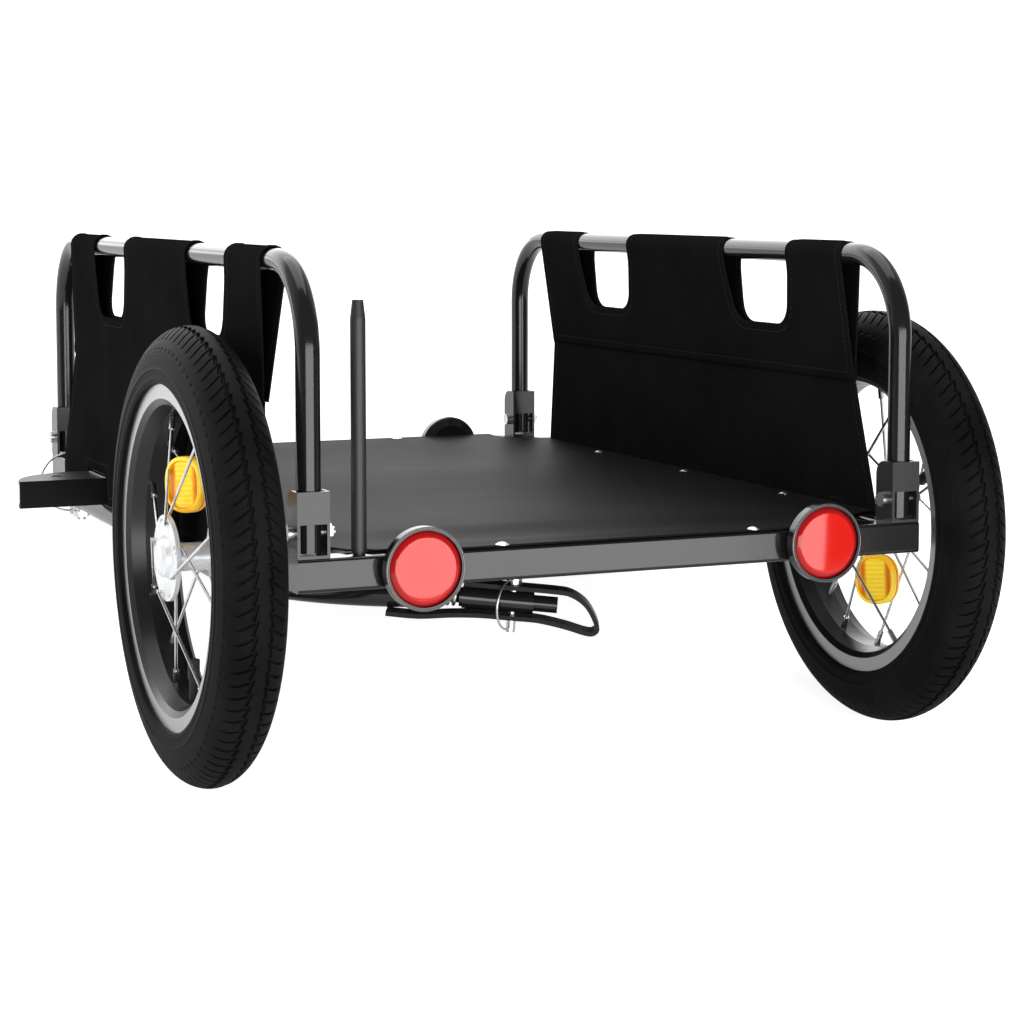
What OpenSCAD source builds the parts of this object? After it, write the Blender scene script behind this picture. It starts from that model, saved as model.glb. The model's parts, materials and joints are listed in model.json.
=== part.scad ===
/* [Frame] */
// Overall width over the side tubes
frame_w = 462; // [420:1:520]
// Distance from the axle line back to the rear face of the frame
frame_back = 115; // [105:1:150]
// Distance from the axle line forward to the front face of the frame
frame_front = 579; // [520:1:640]
// Side of the square frame tube
tube_a = 22; // [20:0.5:25]
// Outside corner radius of the frame tube
tube_r = 2.5; // [1:0.5:4]
// Distance of the middle cross bar in front of the axle
mid_bar_y = 300; // [250:1:330]

/* [Rails and posts] */
// Outside diameter of the rail tube
rail_d = 16; // [14:0.5:17]
// Height of the rail's centre line above the top of the frame
rail_h = 188; // [160:1:220]
// Radius of the rail's bends, on the centre line
rail_bend = 58; // [45:1:80]
// Height of the four post brackets
bracket_h = 43; // [38:1:50]
// Depth of the post brackets, front to back
bracket_l = 22; // [20:1:28]
// Sheet thickness of the brackets
bracket_t = 2; // [1.5:0.5:2.5]
// Height of the window in the lower part of a bracket
window_h = 20; // [16:1:24]
// Gap between a post and its bracket's strap
post_gap = 0.3; // [0.2:0.05:0.5]
// Diameter of the bolts that hold the rails
rail_bolt_d = 6; // [5:0.5:8]

/* [Fabric] */
// Thickness of the cloth
cloth_t = 1.6; // [1:0.1:2.5]
// Distance of a side panel's upper ends from the rail's bends
panel_in = 11; // [5:1:20]
// How much further each end of a side panel reaches at the frame
panel_flare = 22; // [0:1:30]
// Gap between the cloth and what it is stretched over
cloth_gap = 0.3; // [0.2:0.05:0.6]
// Depth of the doubled upper part of a side panel, below the rail's centre
seam_drop = 94; // [80:1:110]
// Width of a hand cut-out at its top
cut_w = 100; // [80:1:120]
// Width of a hand cut-out at its bottom
cut_w_low = 80; // [60:1:100]
// Depth of a hand cut-out below the rail's centre
cut_drop = 57; // [45:1:75]
// Distance of the cut-outs from the middle of the panel
cut_y = 137; // [110:1:150]
// Radius of the cut-outs' lower corners
cut_r = 22; // [10:1:28]

/* [Wheels] */
// Outside diameter of the tyres
wheel_d = 310; // [300:1:330]
// Width of the tyres
tyre_w = 47; // [44:0.5:52]
// Half the height of the tyre's section
tyre_deep = 29.5; // [28:0.5:31]
// Width of the flat on the tyre's crown
crown_w = 8; // [4:1:14]
// Gap between the frame's side and a tyre
wheel_gap = 11.5; // [9:0.5:20]
// Diameter over the rim's bright edge
rim_d = 233; // [228:1:238]
// Width of the rim
rim_w = 39; // [36:0.5:41]
// Depth of the rim, from its edge in to the spoke bed
rim_depth = 17.5; // [15.5:0.5:20]
// Spokes in a wheel, a multiple of eight
spoke_n = 16; // [16:8:32]
// Diameter of a spoke
spoke_d = 2.2; // [1.8:0.1:2.4]
// Diameter of the hub flanges
flange_d = 58; // [54:1:64]
// Distance between the flanges' middles
flange_gap = 37; // [34:1:40]
// Thickness of a hub flange
flange_t = 3; // [2:0.5:4]
// Diameter of the hub's barrel
barrel_d = 19; // [17:0.5:22]
// Diameter of the hub's outer cap
cap_d = 27; // [24:0.5:30]
// Length of a spoke reflector, along the spokes
spoke_refl_l = 38; // [34:1:40]
// Width of a spoke reflector, across the spokes
spoke_refl_w = 34; // [30:1:36]
// Thickness of a spoke reflector, over both lenses
spoke_refl_t = 10.4; // [9:0.2:13]
// Turn of each spoke reflector out of its wheel's plane, towards the rear
spoke_refl_turn = 30; // [20:1:36]
// Distance of the spoke reflectors from the axle
spoke_refl_r = 48.5; // [46:0.5:51]
// Diameter of the stub axles
axle_d = 12; // [10:0.5:13]
// Running clearance on each side of an axle or pin
run_gap = 0.06; // [0.03:0.01:0.09]

/* [Reflectors and flag rod] */
// Outside diameter of the round reflectors
refl_d = 55; // [50:1:60]
// Rise of a round reflector's lens
lens_rise = 2; // [1:0.5:6]
// Distance of the rear reflectors from the middle
rear_refl_x = 148.5; // [120:0.5:170]
// Distance of the front reflectors from the middle
front_refl_x = 153.5; // [120:0.5:170]
// Depth of a reflector's shell
refl_shell_l = 12; // [9:0.5:15]
// Diameter of the flag rod
rod_d = 10; // [8:0.5:11]
// Height of the flag rod above the frame
rod_h = 164; // [120:1:220]
// Distance of the flag rod from the left side of the frame
rod_x = 45; // [40:1:70]

/* [Drawbar] */
// Outside diameter of the drawbar tube
bar_d = 20; // [18:0.5:22]
// Radius of the drawbar's bend
bar_bend = 150; // [130:1:170]
// Angle of the drawbar's bend
bar_turn = 66; // [60:1:72]
// Distance of the bend's end in front of the frame's rear face
bar_tail = 54; // [50:1:80]
// Distance of the drawbar's front end behind the frame's front face
bar_inset = 13; // [8:1:20]
// Distance of the locking pin behind the frame's front face
lock_back = 36; // [30:1:40]
// Distance of the drawbar bolt behind the frame's front face
bolt_back = 61; // [56:1:70]
// Downward slope of the drawbar towards its coupling
bar_sag = 0.25; // [0:0.05:0.5]
// Further downward slope of the coupling
coupling_dip = 5; // [3:0.5:7]
// Diameter of the coupling sleeve
sleeve_d = 15; // [13:0.5:16]
// Diameter of the hitch and locking pins
pin_d = 8; // [6:0.5:9]
// Width of the hitch yoke's strap
yoke_w = 20; // [16:1:22]
// Thickness of the hitch yoke's strap
yoke_t = 3; // [2.5:0.5:4]
// Distance from the hitch pin to the end of the yoke's tail
yoke_tail = 84; // [78:1:90]
// Distance from the hitch pin to the yoke's nose
yoke_nose = 57.5; // [54:0.5:60]
// Diameter of the hole for the bicycle's axle in the yoke's tail
hitch_hole_d = 10; // [9:0.5:12]
// Length of the towing socket on the left side tube, outwards
socket_w = 72; // [60:1:80]
// Depth of the towing socket, front to back
socket_l = 56; // [50:1:64]
// Distance of the towing socket's back plate in front of the axle
socket_y = 377; // [340:1:400]

/* [Hidden] */

$fn = 64;

// Heights and places, with the trailer level
axle_z = wheel_d / 2;
frame_z0 = axle_z - tube_a / 2;
frame_z1 = axle_z + tube_a / 2;
side_x = frame_w / 2 - tube_a / 2;
post_y_rear = -frame_back + tube_a / 2;
post_y_front = frame_front - tube_a / 2;
rail_z = frame_z1 + rail_h;
post_foot = 3;
bracket_y0 = -rail_d / 2 - post_gap - bracket_t;
bolt_z = frame_z1 + 16;
panel_y = (post_y_rear + post_y_front) / 2;
panel_l = post_y_front - post_y_rear - 2 * (rail_bend + panel_in);
side_len = frame_front + frame_back - 2 * tube_a;
cloth_z = frame_z1;
rod_spigot_d = rod_d - 2;

// Drawbar, stowed under the left side tube
bar_z = frame_z0 - cloth_gap - bar_d / 2;
bar_y = frame_front - bar_inset;
lock_y = frame_front - lock_back;
bolt_y = frame_front - bolt_back;
lock_tip = frame_z0 - bar_d - 8;
bolt_tip = lock_tip - 2;
bar_straight = bar_y + frame_back - bar_tail - bar_bend * sin(bar_turn);
spring_l = 30;
collar_d = axle_d + 6;
sleeve_l = 48;
tongue_l = 18;
pin_u = spring_l + 36;
ring_wire = 1.6;
ring_turn = 60;
yoke_top = sleeve_d / 2 + 1.2 + yoke_t;
yoke_drop = 4.3;

// Wheels
track = frame_w + 2 * wheel_gap + tyre_w;
spoke_bed_d = rim_d - 2 * rim_depth;
rim_edge = 10;
seat_gap = 0.3;
tyre_steps = [1, 19, 38, 59]; // angles round the tyre's section, from its widest line
rim_wall = 2.2;
nipple_l = 12;
hole_pair = 4.2;
valve_d = 6.2;

// The trailer parks nose down, on its wheels and the lowest point under its front corner
function fall(y, z) =
    let (dz = axle_z - z, r = norm([y, dz])) asin(axle_z / r) - atan2(dz, y);
park_tilt = min(
    fall(lock_y + pin_d / 2, lock_tip),
    fall(bolt_y + pin_d / 2, bolt_tip),
    fall(bar_y, bar_z - bar_d / 2)
);

module parked() {
    translate([0, 0, axle_z]) rotate([-park_tilt, 0, 0]) translate([0, 0, -axle_z]) children();
}

// ---- Frame ----

// Square with rounded corners
module tube_section() {
    flat = tube_a - 2 * tube_r;
    square([tube_a, flat], center = true);
    square([flat, tube_a], center = true);
    for (x = [-1, 1], y = [-1, 1]) translate([x * flat / 2, y * flat / 2]) circle(r = tube_r);
}

// A tube across the frame, centred on the line y
module cross_bar(y, l) {
    translate([0, y, axle_z]) rotate([90, 0, 90]) linear_extrude(l, center = true)
        tube_section();
}

module inner_bar(y) {
    cross_bar(y, frame_w - 2 * tube_a);
}

module rear_bar() {
    color("#1b1b1c") parked() difference() {
        cross_bar(post_y_rear, frame_w);
        translate([rod_place_x(), post_y_rear, frame_z1 - tube_a / 2])
            cylinder(d = rod_spigot_d + 2 * run_gap, h = tube_a);
    }
}

module front_bar() {
    color("#1b1b1c") parked() cross_bar(post_y_front, frame_w);
}

module side_tube(s) {
    color("#1b1b1c") parked() difference() {
        translate([s * side_x, panel_y, axle_z]) rotate([90, 0, 0])
            linear_extrude(side_len, center = true) tube_section();
        translate([s * side_x - tube_a, 0, axle_z]) rotate([0, 90, 0])
            cylinder(d = axle_d, h = 2 * tube_a);
        if (s < 0) drawbar_holes();
    }
}

module drawbar_holes() {
    for (y = [lock_y, bolt_y])
        translate([-side_x, y, frame_z0 - 2 * bar_d])
            cylinder(d = pin_d + 0.4, h = 2 * bar_d + 2 * tube_a);
}

module axle_beam() {
    color("#1b1b1c") parked() difference() {
        inner_bar(0);
        for (s = [-1, 1])
            translate([s * (side_x - tube_a), 0, axle_z]) rotate([0, 90, 0])
                cylinder(d = axle_d, h = 2 * tube_a, center = true);
    }
}

module mid_bar() {
    color("#1b1b1c") parked() inner_bar(mid_bar_y);
}

// ---- Rails ----

// One sheet-metal bracket: a back strap, two cheeks and a foot
module post_bracket(s, y) {
    w = tube_a;
    y0 = y + bracket_y0;
    r = 10;
    color("#232324") parked() translate([s * side_x, 0, frame_z1]) difference() {
        translate([-w / 2, y0, 0]) difference() {
            cube([w, bracket_l, bracket_h]);
            translate([bracket_t, bracket_t, bracket_t])
                cube([w - 2 * bracket_t, bracket_l, bracket_h]);
            translate([bracket_t, -1, bracket_t])
                cube([w - 2 * bracket_t, bracket_t + 2, window_h]);
            // the rounded upper front corner of the cheeks
            translate([-1, bracket_l - r, bracket_h - r]) difference() {
                cube([w + 2, r + 1, r + 1]);
                rotate([0, 90, 0]) translate([0, 0, -1]) cylinder(r = r, h = w + 4);
            }
        }
        translate([-w, y, bolt_z - frame_z1]) rotate([0, 90, 0])
            cylinder(d = rail_bolt_d, h = 2 * w);
    }
}

// A tube bent into an upside-down U along Y
module rail(s) {
    r = rail_bend;
    y0 = post_y_rear;
    y1 = post_y_front;
    foot = frame_z1 + post_foot;
    color("#1f1f20") parked() translate([s * side_x, 0, 0]) difference() {
        union() {
            for (y = [y0, y1]) translate([0, y, foot])
                cylinder(d = rail_d, h = rail_z - r - foot);
            translate([0, y0 + r, rail_z]) rotate([-90, 0, 0])
                cylinder(d = rail_d, h = y1 - y0 - 2 * r);
            for (e = [[y0 + r, 180], [y1 - r, 90]])
                translate([0, e[0], rail_z - r]) rotate([0, 0, 90]) rotate([90, 0, 0])
                    rotate([0, 0, e[1] - 90]) rotate_extrude(angle = 90)
                        translate([r, 0]) circle(d = rail_d);
        }
        for (y = [y0, y1]) translate([-rail_d, y, bolt_z]) rotate([0, 90, 0])
            cylinder(d = rail_bolt_d, h = 2 * rail_d);
    }
}

// Cross bolts with a head outside and a nut inside
module rail_bolts() {
    color("#c9cbcd") parked()
        for (s = [-1, 1], y = [post_y_rear, post_y_front])
            translate([s * side_x, y, bolt_z]) rotate([0, 90, 0]) {
                translate([0, 0, -tube_a / 2 - 4]) cylinder(d = rail_bolt_d, h = tube_a + 10);
                translate([0, 0, -tube_a / 2 - 4]) cylinder(d = rail_bolt_d * 1.7, h = 4);
                translate([0, 0, tube_a / 2]) cylinder(d = rail_bolt_d * 1.75, h = 4, $fn = 6);
            }
}

// ---- Cloth ----

module bed_sheet() {
    r = tube_a + 18;
    color("#2a2a2b") parked() translate([0, 0, cloth_z]) linear_extrude(cloth_t) difference() {
        translate([-frame_w / 2, -frame_back]) square([frame_w, frame_front + frame_back]);
        // cut out round at each post, and straight behind the flag rod
        for (m = [0, 1]) mirror([m, 0]) {
            translate([-frame_w / 2, post_y_rear + 4]) circle(r);
            translate([-frame_w / 2, post_y_front - 4]) circle(r);
            translate([-frame_w / 2 - 1, -frame_back - 1]) square([rod_x + 31, tube_a / 2 + 3]);
        }
        // and round the rod and the drawbar's bolt
        translate([rod_place_x(), post_y_rear]) circle(d = 2 * rod_d);
        translate([-side_x, bolt_y]) circle(d = 2 * pin_d + 2 * cloth_gap);
    }
}

function rod_place_x() = -frame_w / 2 + rod_x;

// Points of an arc, centre c, from angle a to angle b
function arc(c, r, a, b, n = 6) =
    [for (i = [0:n]) let (t = a + (b - a) * i / n) c + r * [cos(t), sin(t)]];

// Outline of a hand cut-out, narrower and rounded at its bottom
module cut_outline() {
    top = rail_d;
    h = cut_w / 2;
    l = cut_w_low / 2;
    low = [-cut_drop + cut_r, l - cut_r];
    polygon(concat(
        [[-h, top], [-h, -rail_d]],
        arc([-low[1], low[0]], cut_r, 180, 270),
        arc([low[1], low[0]], cut_r, 270, 360),
        [[h, -rail_d], [h, top]]
    ));
}

// Section of a side panel: a doubled loop round the rail, then one sheet down past the frame
module panel_section() {
    ri = rail_d / 2 + cloth_gap;
    ro = ri + cloth_t;
    out = tube_a / 2 + cloth_gap;
    sx = out * seam_drop / rail_h;
    low = -rail_h - tube_a;
    lean = 8;
    difference() {
        polygon(concat(arc([0, 0], ro, 180 + lean, -lean, 16), [
            [sx + cloth_t, -seam_drop], [out + cloth_t, -rail_h], [out + cloth_t, low],
            [out, low], [out, -rail_h], [sx, -seam_drop]
        ]));
        polygon(concat(arc([0, 0], ri, 180 + lean, -lean, 16),
            [[sx + cloth_t / 2, -seam_drop + 5 * cloth_t]]));
    }
}

// Outline of a side panel from the side: straight ends down to the seam, then flaring
module panel_outline() {
    a = panel_l / 2;
    b = a + panel_flare;
    low = -rail_h - 2 * tube_a;
    polygon([
        [-b, low], [-b, -rail_h], [-a, -seam_drop], [-a, 2 * rail_d],
        [a, 2 * rail_d], [a, -seam_drop], [b, -rail_h], [b, low]
    ]);
}

module side_panel(s) {
    color("#2a2a2b") parked() translate([s * side_x, panel_y, rail_z]) difference() {
        intersection() {
            scale_side(s) rotate([90, 0, 0])
                linear_extrude(panel_l + 3 * panel_flare, center = true) panel_section();
            rotate([90, 0, 90]) linear_extrude(6 * tube_a, center = true) panel_outline();
        }
        for (e = [-1, 1]) translate([0, e * cut_y, 0]) rotate([90, 0, 90])
            linear_extrude(3 * tube_a, center = true) cut_outline();
        if (s < 0) {
            // the hem is cut away round the towing socket
            translate([-2 * tube_a, socket_y - panel_y - 3, -rail_h - 2 * tube_a])
                cube([2 * tube_a, socket_l + 6, 2 * tube_a + 3]);
        }
        // and pierced where the axle comes out
        translate([0, -panel_y, axle_z - rail_z]) rotate([0, 90, 0])
            cylinder(d = collar_d + 2 * cloth_gap, h = 3 * tube_a, center = true);
    }
}

module scale_side(s) {
    if (s > 0) children();
    else mirror([1, 0, 0]) children();
}

// ---- Reflectors and rod ----

// A shell cup and a domed lens, axis along +Y, back face at the origin
module shell_cup() {
    r = refl_d / 2;
    rotate([-90, 0, 0]) rotate_extrude() polygon(concat(
        [[0, 0], [r * 0.72, 0], [r - 1, 4]],
        [[r, 5], [r, refl_shell_l], [r - 2.4, refl_shell_l], [r - 2.4, 5], [0, 5]]
    ));
}

module lens_dome() {
    r = refl_d / 2 - 2.6;
    big = (r * r + lens_rise * lens_rise) / (2 * lens_rise);
    half = asin(r / big);
    rotate([-90, 0, 0]) rotate_extrude() polygon(concat(
        [[0, 5.2], [r, 5.2]],
        arc([0, refl_shell_l - 1 + lens_rise - big], big, 90 - half, 90, 8)
    ));
}

module rear_places() {
    for (s = [-1, 1]) translate([s * rear_refl_x, -frame_back, axle_z + 2]) rotate([0, 0, 180])
        children();
}

module front_places() {
    for (s = [-1, 1]) translate([s * front_refl_x, frame_front, axle_z + 2]) children();
}

module rear_reflector_shells() { color("#151515") parked() rear_places() shell_cup(); }

module rear_reflector_lenses() { color("#d8261c") parked() rear_places() lens_dome(); }

module front_reflector_shells() { color("#151515") parked() front_places() shell_cup(); }

module front_reflector_lenses() { color("#e8eaec") parked() front_places() lens_dome(); }

// A rod with a turned spigot that is set into the rear bar
module flag_rod() {
    tip = 12;
    in = tube_a / 2;
    color("#161616") parked() translate([rod_place_x(), post_y_rear, frame_z1 - in])
        rotate_extrude() polygon([
            [0, 0], [rod_spigot_d / 2, 0], [rod_spigot_d / 2, in + cloth_t], [rod_d / 2, in + cloth_t],
            [rod_d / 2, in + rod_h - tip], [rod_d * 0.36, in + rod_h], [0, in + rod_h]
        ]);
}

// ---- Towing socket ----

// A channel welded on the left side tube: a back plate and two plates with a rounded corner
module towing_socket() {
    t = 3;
    x0 = -frame_w / 2;
    color("#1e1e1f") parked() difference() {
        translate([x0 - socket_w, socket_y, frame_z0]) {
            cube([socket_w, t, tube_a]);
            for (z = [0, tube_a - t]) translate([0, 0, z]) linear_extrude(t)
                polygon(concat([[socket_w, 0], [socket_w, socket_l]],
                    arc([socket_l, 0], socket_l, 90, 180, 8)));
        }
        translate([x0 - socket_w / 2, socket_y + socket_l / 2, frame_z0 - 1])
            cylinder(d = pin_d + 0.4, h = tube_a + 2);
    }
}

// ---- Drawbar ----

// The drawbar's own frame: its front end at the origin, running back along -Y
module drawbar_place() {
    translate([-side_x, bar_y, bar_z]) rotate([bar_sag, 0, 0]) children();
}

module drawbar_tube() {
    r = bar_bend;
    color("#1d1d1e") parked() difference() {
        drawbar_place() union() {
            rotate([90, 0, 0]) cylinder(d = bar_d, h = bar_straight);
            translate([r, -bar_straight, 0]) rotate([0, 0, 180])
                rotate_extrude(angle = bar_turn + 1) translate([r, 0]) circle(d = bar_d);
        }
        drawbar_holes();
        // the end is cut square to the coupling
        coupling_place() translate([0, -bar_d, -bar_d]) cube(2 * bar_d);
    }
}

// The coupling's own frame: +X along it, its root at the end of the drawbar's bend
module coupling_place() {
    r = bar_bend;
    drawbar_place()
        translate([r - r * cos(bar_turn), -bar_straight - r * sin(bar_turn), 0])
            rotate([0, 0, bar_turn - 90]) rotate([0, coupling_dip, 0]) children();
}

module drawbar_bolt() {
    head = 5;
    color("#b9bbbd") parked() translate([-side_x, bolt_y, 0]) {
        translate([0, 0, bolt_tip]) cylinder(d = pin_d, h = frame_z1 + head - bolt_tip);
        translate([0, 0, frame_z1]) cylinder(d = pin_d * 1.8, h = head, $fn = 6);
        translate([0, 0, bolt_tip + 3]) cylinder(d = pin_d * 1.8, h = 4.5, $fn = 6);
    }
}

// A pin along Z with a round head that is drilled for one end of its ring
module ring_pin(d, head_z, tip_z, ring_z) {
    head_h = 6;
    difference() {
        union() {
            translate([0, 0, tip_z]) cylinder(d = d, h = head_z + 1 - tip_z);
            translate([0, 0, head_z]) cylinder(d = d * 1.7, h = head_h);
        }
        translate([-d / 2, 0, ring_z]) rotate([0, -90, 0])
            cylinder(d = ring_wire + 0.8, h = d);
    }
}

// A spring wire bent to a half circle from a pin's head to its tip, bulging towards -X
module pin_ring(d, top, bottom) {
    r = (top - bottom) / 2;
    translate([-d / 2, 0, (top + bottom) / 2]) rotate([90, 0, 0]) rotate([0, 0, 90])
        rotate_extrude(angle = 180) translate([r, 0]) circle(d = ring_wire, $fn = 16);
}

module locking_pin() {
    color("#b9bbbd") parked() translate([-side_x, lock_y, 0])
        ring_pin(pin_d, frame_z1, lock_tip, frame_z1 + 4);
}

module locking_pin_ring() {
    color("#c4c6c8") parked() translate([-side_x, lock_y, 0])
        pin_ring(pin_d, frame_z1 + 4, lock_tip + 3);
}

module coupling_spring() {
    turns = 6;
    wire = 2.4;
    pitch = (spring_l - wire) / turns;
    color("#c9cbcd") parked() coupling_place() {
        rotate([0, 90, 0]) cylinder(d = sleeve_d - 6, h = spring_l);
        for (i = [0:turns]) translate([wire / 2 + i * pitch, 0, 0]) rotate([0, 90, 0])
            rotate_extrude() translate([sleeve_d / 2 - 2, 0]) circle(d = wire, $fn = 16);
    }
}

module coupling_sleeve() {
    color("#19191a") parked() coupling_place() rotate([0, 90, 0]) difference() {
        union() {
            translate([0, 0, spring_l + 2]) cylinder(d = sleeve_d, h = sleeve_l);
            translate([0, 0, spring_l]) cylinder(d = sleeve_d - 2, h = 4);
            translate([0, 0, spring_l + sleeve_l]) cylinder(d = sleeve_d - 4, h = tongue_l);
        }
        translate([0, 0, pin_u]) rotate([0, 90, 0])
            cylinder(d = pin_d - 2 + 2 * run_gap, h = 3 * sleeve_d, center = true);
    }
}

// Points on a smooth curve through a list of points
function smooth(p, n = 4) = concat([for (i = [0:len(p) - 2], k = [0:n - 1])
    let (a = p[max(i - 1, 0)], b = p[i], c = p[i + 1], d = p[min(i + 2, len(p) - 1)], t = k / n)
    0.5 * (2 * b + (c - a) * t + (2 * a - 5 * b + 4 * c - d) * t * t
        + (3 * b - a - 3 * c + d) * t * t * t)], [p[len(p) - 1]]);

// One edge of a strap of thickness t along a path
function edge(p, t) = [for (i = [0:len(p) - 1])
    let (d = p[min(i + 1, len(p) - 1)] - p[max(i - 1, 0)])
    p[i] + t / 2 * [-d[1], d[0]] / norm(d)];

// The bike-side yoke: a strap bent over and under the sleeve, closed by a nose
module hitch_yoke() {
    up = yoke_top - yoke_t / 2;
    t = yoke_tail;
    n = yoke_nose;
    d = yoke_drop;
    path = smooth([
        [-t, -up - d], [-0.74 * t, -up - d], [-0.48 * t, -up - 0.35 * d], [-0.24 * t, -up],
        [0, -up], [0.31 * n, -up], [0.63 * n, -up - 0.6 * d], [0.87 * n, -up - 1.3 * d],
        [0.97 * n, -up - 1.2 * d], [n, -up - 0.1 * d], [0.87 * n, up - 1.9 * d],
        [0.68 * n, up - 0.3 * d], [0.47 * n, up], [0, up], [-0.4 * t, up]
    ]);
    color("#1c1c1d") parked() coupling_place() translate([pin_u, 0, 0]) difference() {
        rotate([90, 0, 0]) linear_extrude(yoke_w, center = true)
            polygon(concat(edge(path, yoke_t), [for (i = [len(path) - 1:-1:0])
                edge(path, -yoke_t)[i]]));
        cylinder(d = pin_d - 2, h = 6 * up, center = true);
        translate([-yoke_tail + 12, 0, -3 * up]) cylinder(d = hitch_hole_d, h = 3 * up);
    }
}

module hitch_pin() {
    color("#b9bbbd") parked() coupling_place() translate([pin_u, 0, 0]) rotate([0, 0, ring_turn])
        ring_pin(pin_d - 2, yoke_top + 0.1, -yoke_top - 9, yoke_top + 4);
}

module hitch_pin_ring() {
    color("#c4c6c8") parked() coupling_place() translate([pin_u, 0, 0]) rotate([0, 0, ring_turn])
        pin_ring(pin_d - 2, yoke_top + 4, -yoke_top - 7);
}

// ---- Wheels ----

module wheel_place(s) {
    parked() translate([s * track / 2, 0, axle_z]) children();
}

// Turns a profile of [distance along the axle, radius] points round the X axis
module turned(points) {
    rotate([0, 90, 0]) rotate_extrude($fn = 96)
        polygon([for (p = points) [p[1], p[0]]]);
}

// A round section that sits on the rim's two edges, drawn in bands of even width
module tyre(s) {
    half = tyre_w / 2;
    seat = rim_d / 2 + seat_gap;
    mid = wheel_d / 2 - tyre_deep;
    low = asin((mid - seat) / tyre_deep);
    wall = [for (a = concat([-low], tyre_steps)) [half * cos(a), mid + tyre_deep * sin(a)]];
    side = concat(wall, [[crown_w / 2, wheel_d / 2]]);
    n = len(side);
    color("#202021") wheel_place(s)
        turned(concat(side, [for (i = [n - 1:-1:0]) [-side[i][0], side[i][1]]]));
}

// A box-section rim: two bright-edged walls and a slanting floor that seats the nipples
module rim(s) {
    e = rim_w / 2;
    r = rim_d / 2;
    bed = spoke_bed_d / 2;
    w = rim_wall;
    out = [[e, r], [e, r - rim_edge], [e - 3, bed + 3.5], [7, bed]];
    in = [[6, bed + w], [e - 3 - w, bed + 3.5 + 0.9 * w], [e - w, r - rim_edge + 0.3], [e - w, r]];
    half = concat(out, [[-7, bed]], [for (i = [2:-1:0]) [-out[i][0], out[i][1]]]);
    color("#141414") wheel_place(s) difference() {
        turned(concat(half, [for (i = [3:-1:0]) [-in[i][0], in[i][1]]], in));
        for (i = [0:spoke_n - 1]) nipple(spoke_ends(i), 0.3);
        valve_turn(s) translate([0, 0, bed - 5]) cylinder(d = valve_d + 0.3, h = 8);
    }
}

// Where spoke i leaves the flange and meets the rim:
// [hub point, rim point, side of the flange it lies on, its distance from the flange's middle]
function spoke_ends(i) =
    let (
        side = i % 2 == 0 ? 1 : -1,
        k = floor(i / 2),
        lead = k % 2 == 0 ? 1 : -1,
        rim_a = 360 * i / spoke_n,
        hub_a = rim_a - lead * 720 / spoke_n,
        hr = flange_d / 2 - 3.2,
        rr = spoke_bed_d / 2 + 1,
        out = flange_t / 2 + spoke_d / 2 + (side * lead > 0 ? 1.35 : 0.2),
        off = side * flange_gap / 2 + lead * out
    )
    [[off, hr * cos(hub_a), hr * sin(hub_a)], [side * 3, rr * cos(rim_a), rr * sin(rim_a)],
        lead, out];

module between(a, b) {
    d = b - a;
    translate(a) rotate([0, acos(d[2] / norm(d)), atan2(d[1], d[0])]) children();
}

module spoke_wire(e, grow) {
    between(e[0], e[1]) cylinder(d = spoke_d + grow, h = norm(e[1] - e[0]) - 1, $fn = 16);
}

module nipple(e, grow) {
    l = norm(e[1] - e[0]);
    between(e[0], e[1]) translate([0, 0, l - nipple_l])
        cylinder(d = spoke_d * 1.9 + grow, h = nipple_l + grow, $fn = 20);
}

module spokes(s) {
    color("#d3d5d7") wheel_place(s) for (i = [0:spoke_n - 1]) {
        e = spoke_ends(i);
        spoke_wire(e, 0);
        nipple(e, 0);
        // the elbow and the head through the flange
        translate(e[0]) rotate([0, -e[2] * 90, 0]) translate([0, 0, -0.4 * spoke_d])
            cylinder(d = 1.1 * spoke_d, h = 0.4 * spoke_d + e[3] + flange_t / 2 + 0.8, $fn = 16);
    }
}

module hub(s) {
    r = barrel_d / 2;
    f = flange_d / 2;
    g = flange_gap / 2;
    h = flange_t / 2;
    cap = cap_d / 2;
    color("#c6c8ca") wheel_place(s) difference() {
        scale_side(s) turned([
            [-g - 4, 0], [-g - 4, cap - 3], [-g - h, cap], [-g - h, f], [-g + h, f],
            [-g + h, r + 4], [-g + 7, r], [g - 7, r], [g - h, r + 4], [g - h, f],
            [g + h, f], [g + h, cap + 2], [g - 0.2 * h, cap + 0.5], [g + 4, cap - 1],
            [g + 6.2, cap - 3.5], [g + 7, cap - 6.5], [g + 7, 0]
        ]);
        scale_side(s) translate([-g - 5, 0, 0]) rotate([0, 90, 0])
            cylinder(d = axle_d + 2 * run_gap, h = 2 * g + 7);
        // the spokes' holes come in pairs, of which one of each is laced
        for (i = [0:spoke_n - 1], k = [0, 1]) {
            e = spoke_ends(i);
            rotate([k * e[2] * hole_pair / (f * PI / 180), 0, 0])
                translate([e[0][0] > 0 ? g : -g, e[0][1], e[0][2]]) rotate([0, 90, 0])
                    cylinder(d = 1.1 * spoke_d + 0.2, h = 2 * flange_t, center = true);
        }
    }
}

module stub_axle(s) {
    x0 = frame_w / 2 - 2 * tube_a;
    x1 = track / 2 + flange_gap / 2 - 1;
    collar = track / 2 - flange_gap / 2 - 4.3 - frame_w / 2;
    color("#9fa1a3") parked() scale_side(s) translate([0, 0, axle_z]) rotate([0, 90, 0]) {
        translate([0, 0, x0]) cylinder(d = axle_d, h = x1 - x0);
        translate([0, 0, frame_w / 2]) cylinder(d = collar_d, h = collar);
    }
}

// Points of an oval with full sides
function oval(w, l, n = 40) = [for (i = [0:n - 1])
    let (c = cos(360 * i / n), d = sin(360 * i / n))
        [w / 2 * sign(c) * pow(abs(c), 0.8), l / 2 * sign(d) * pow(abs(d), 0.8)]];

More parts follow.
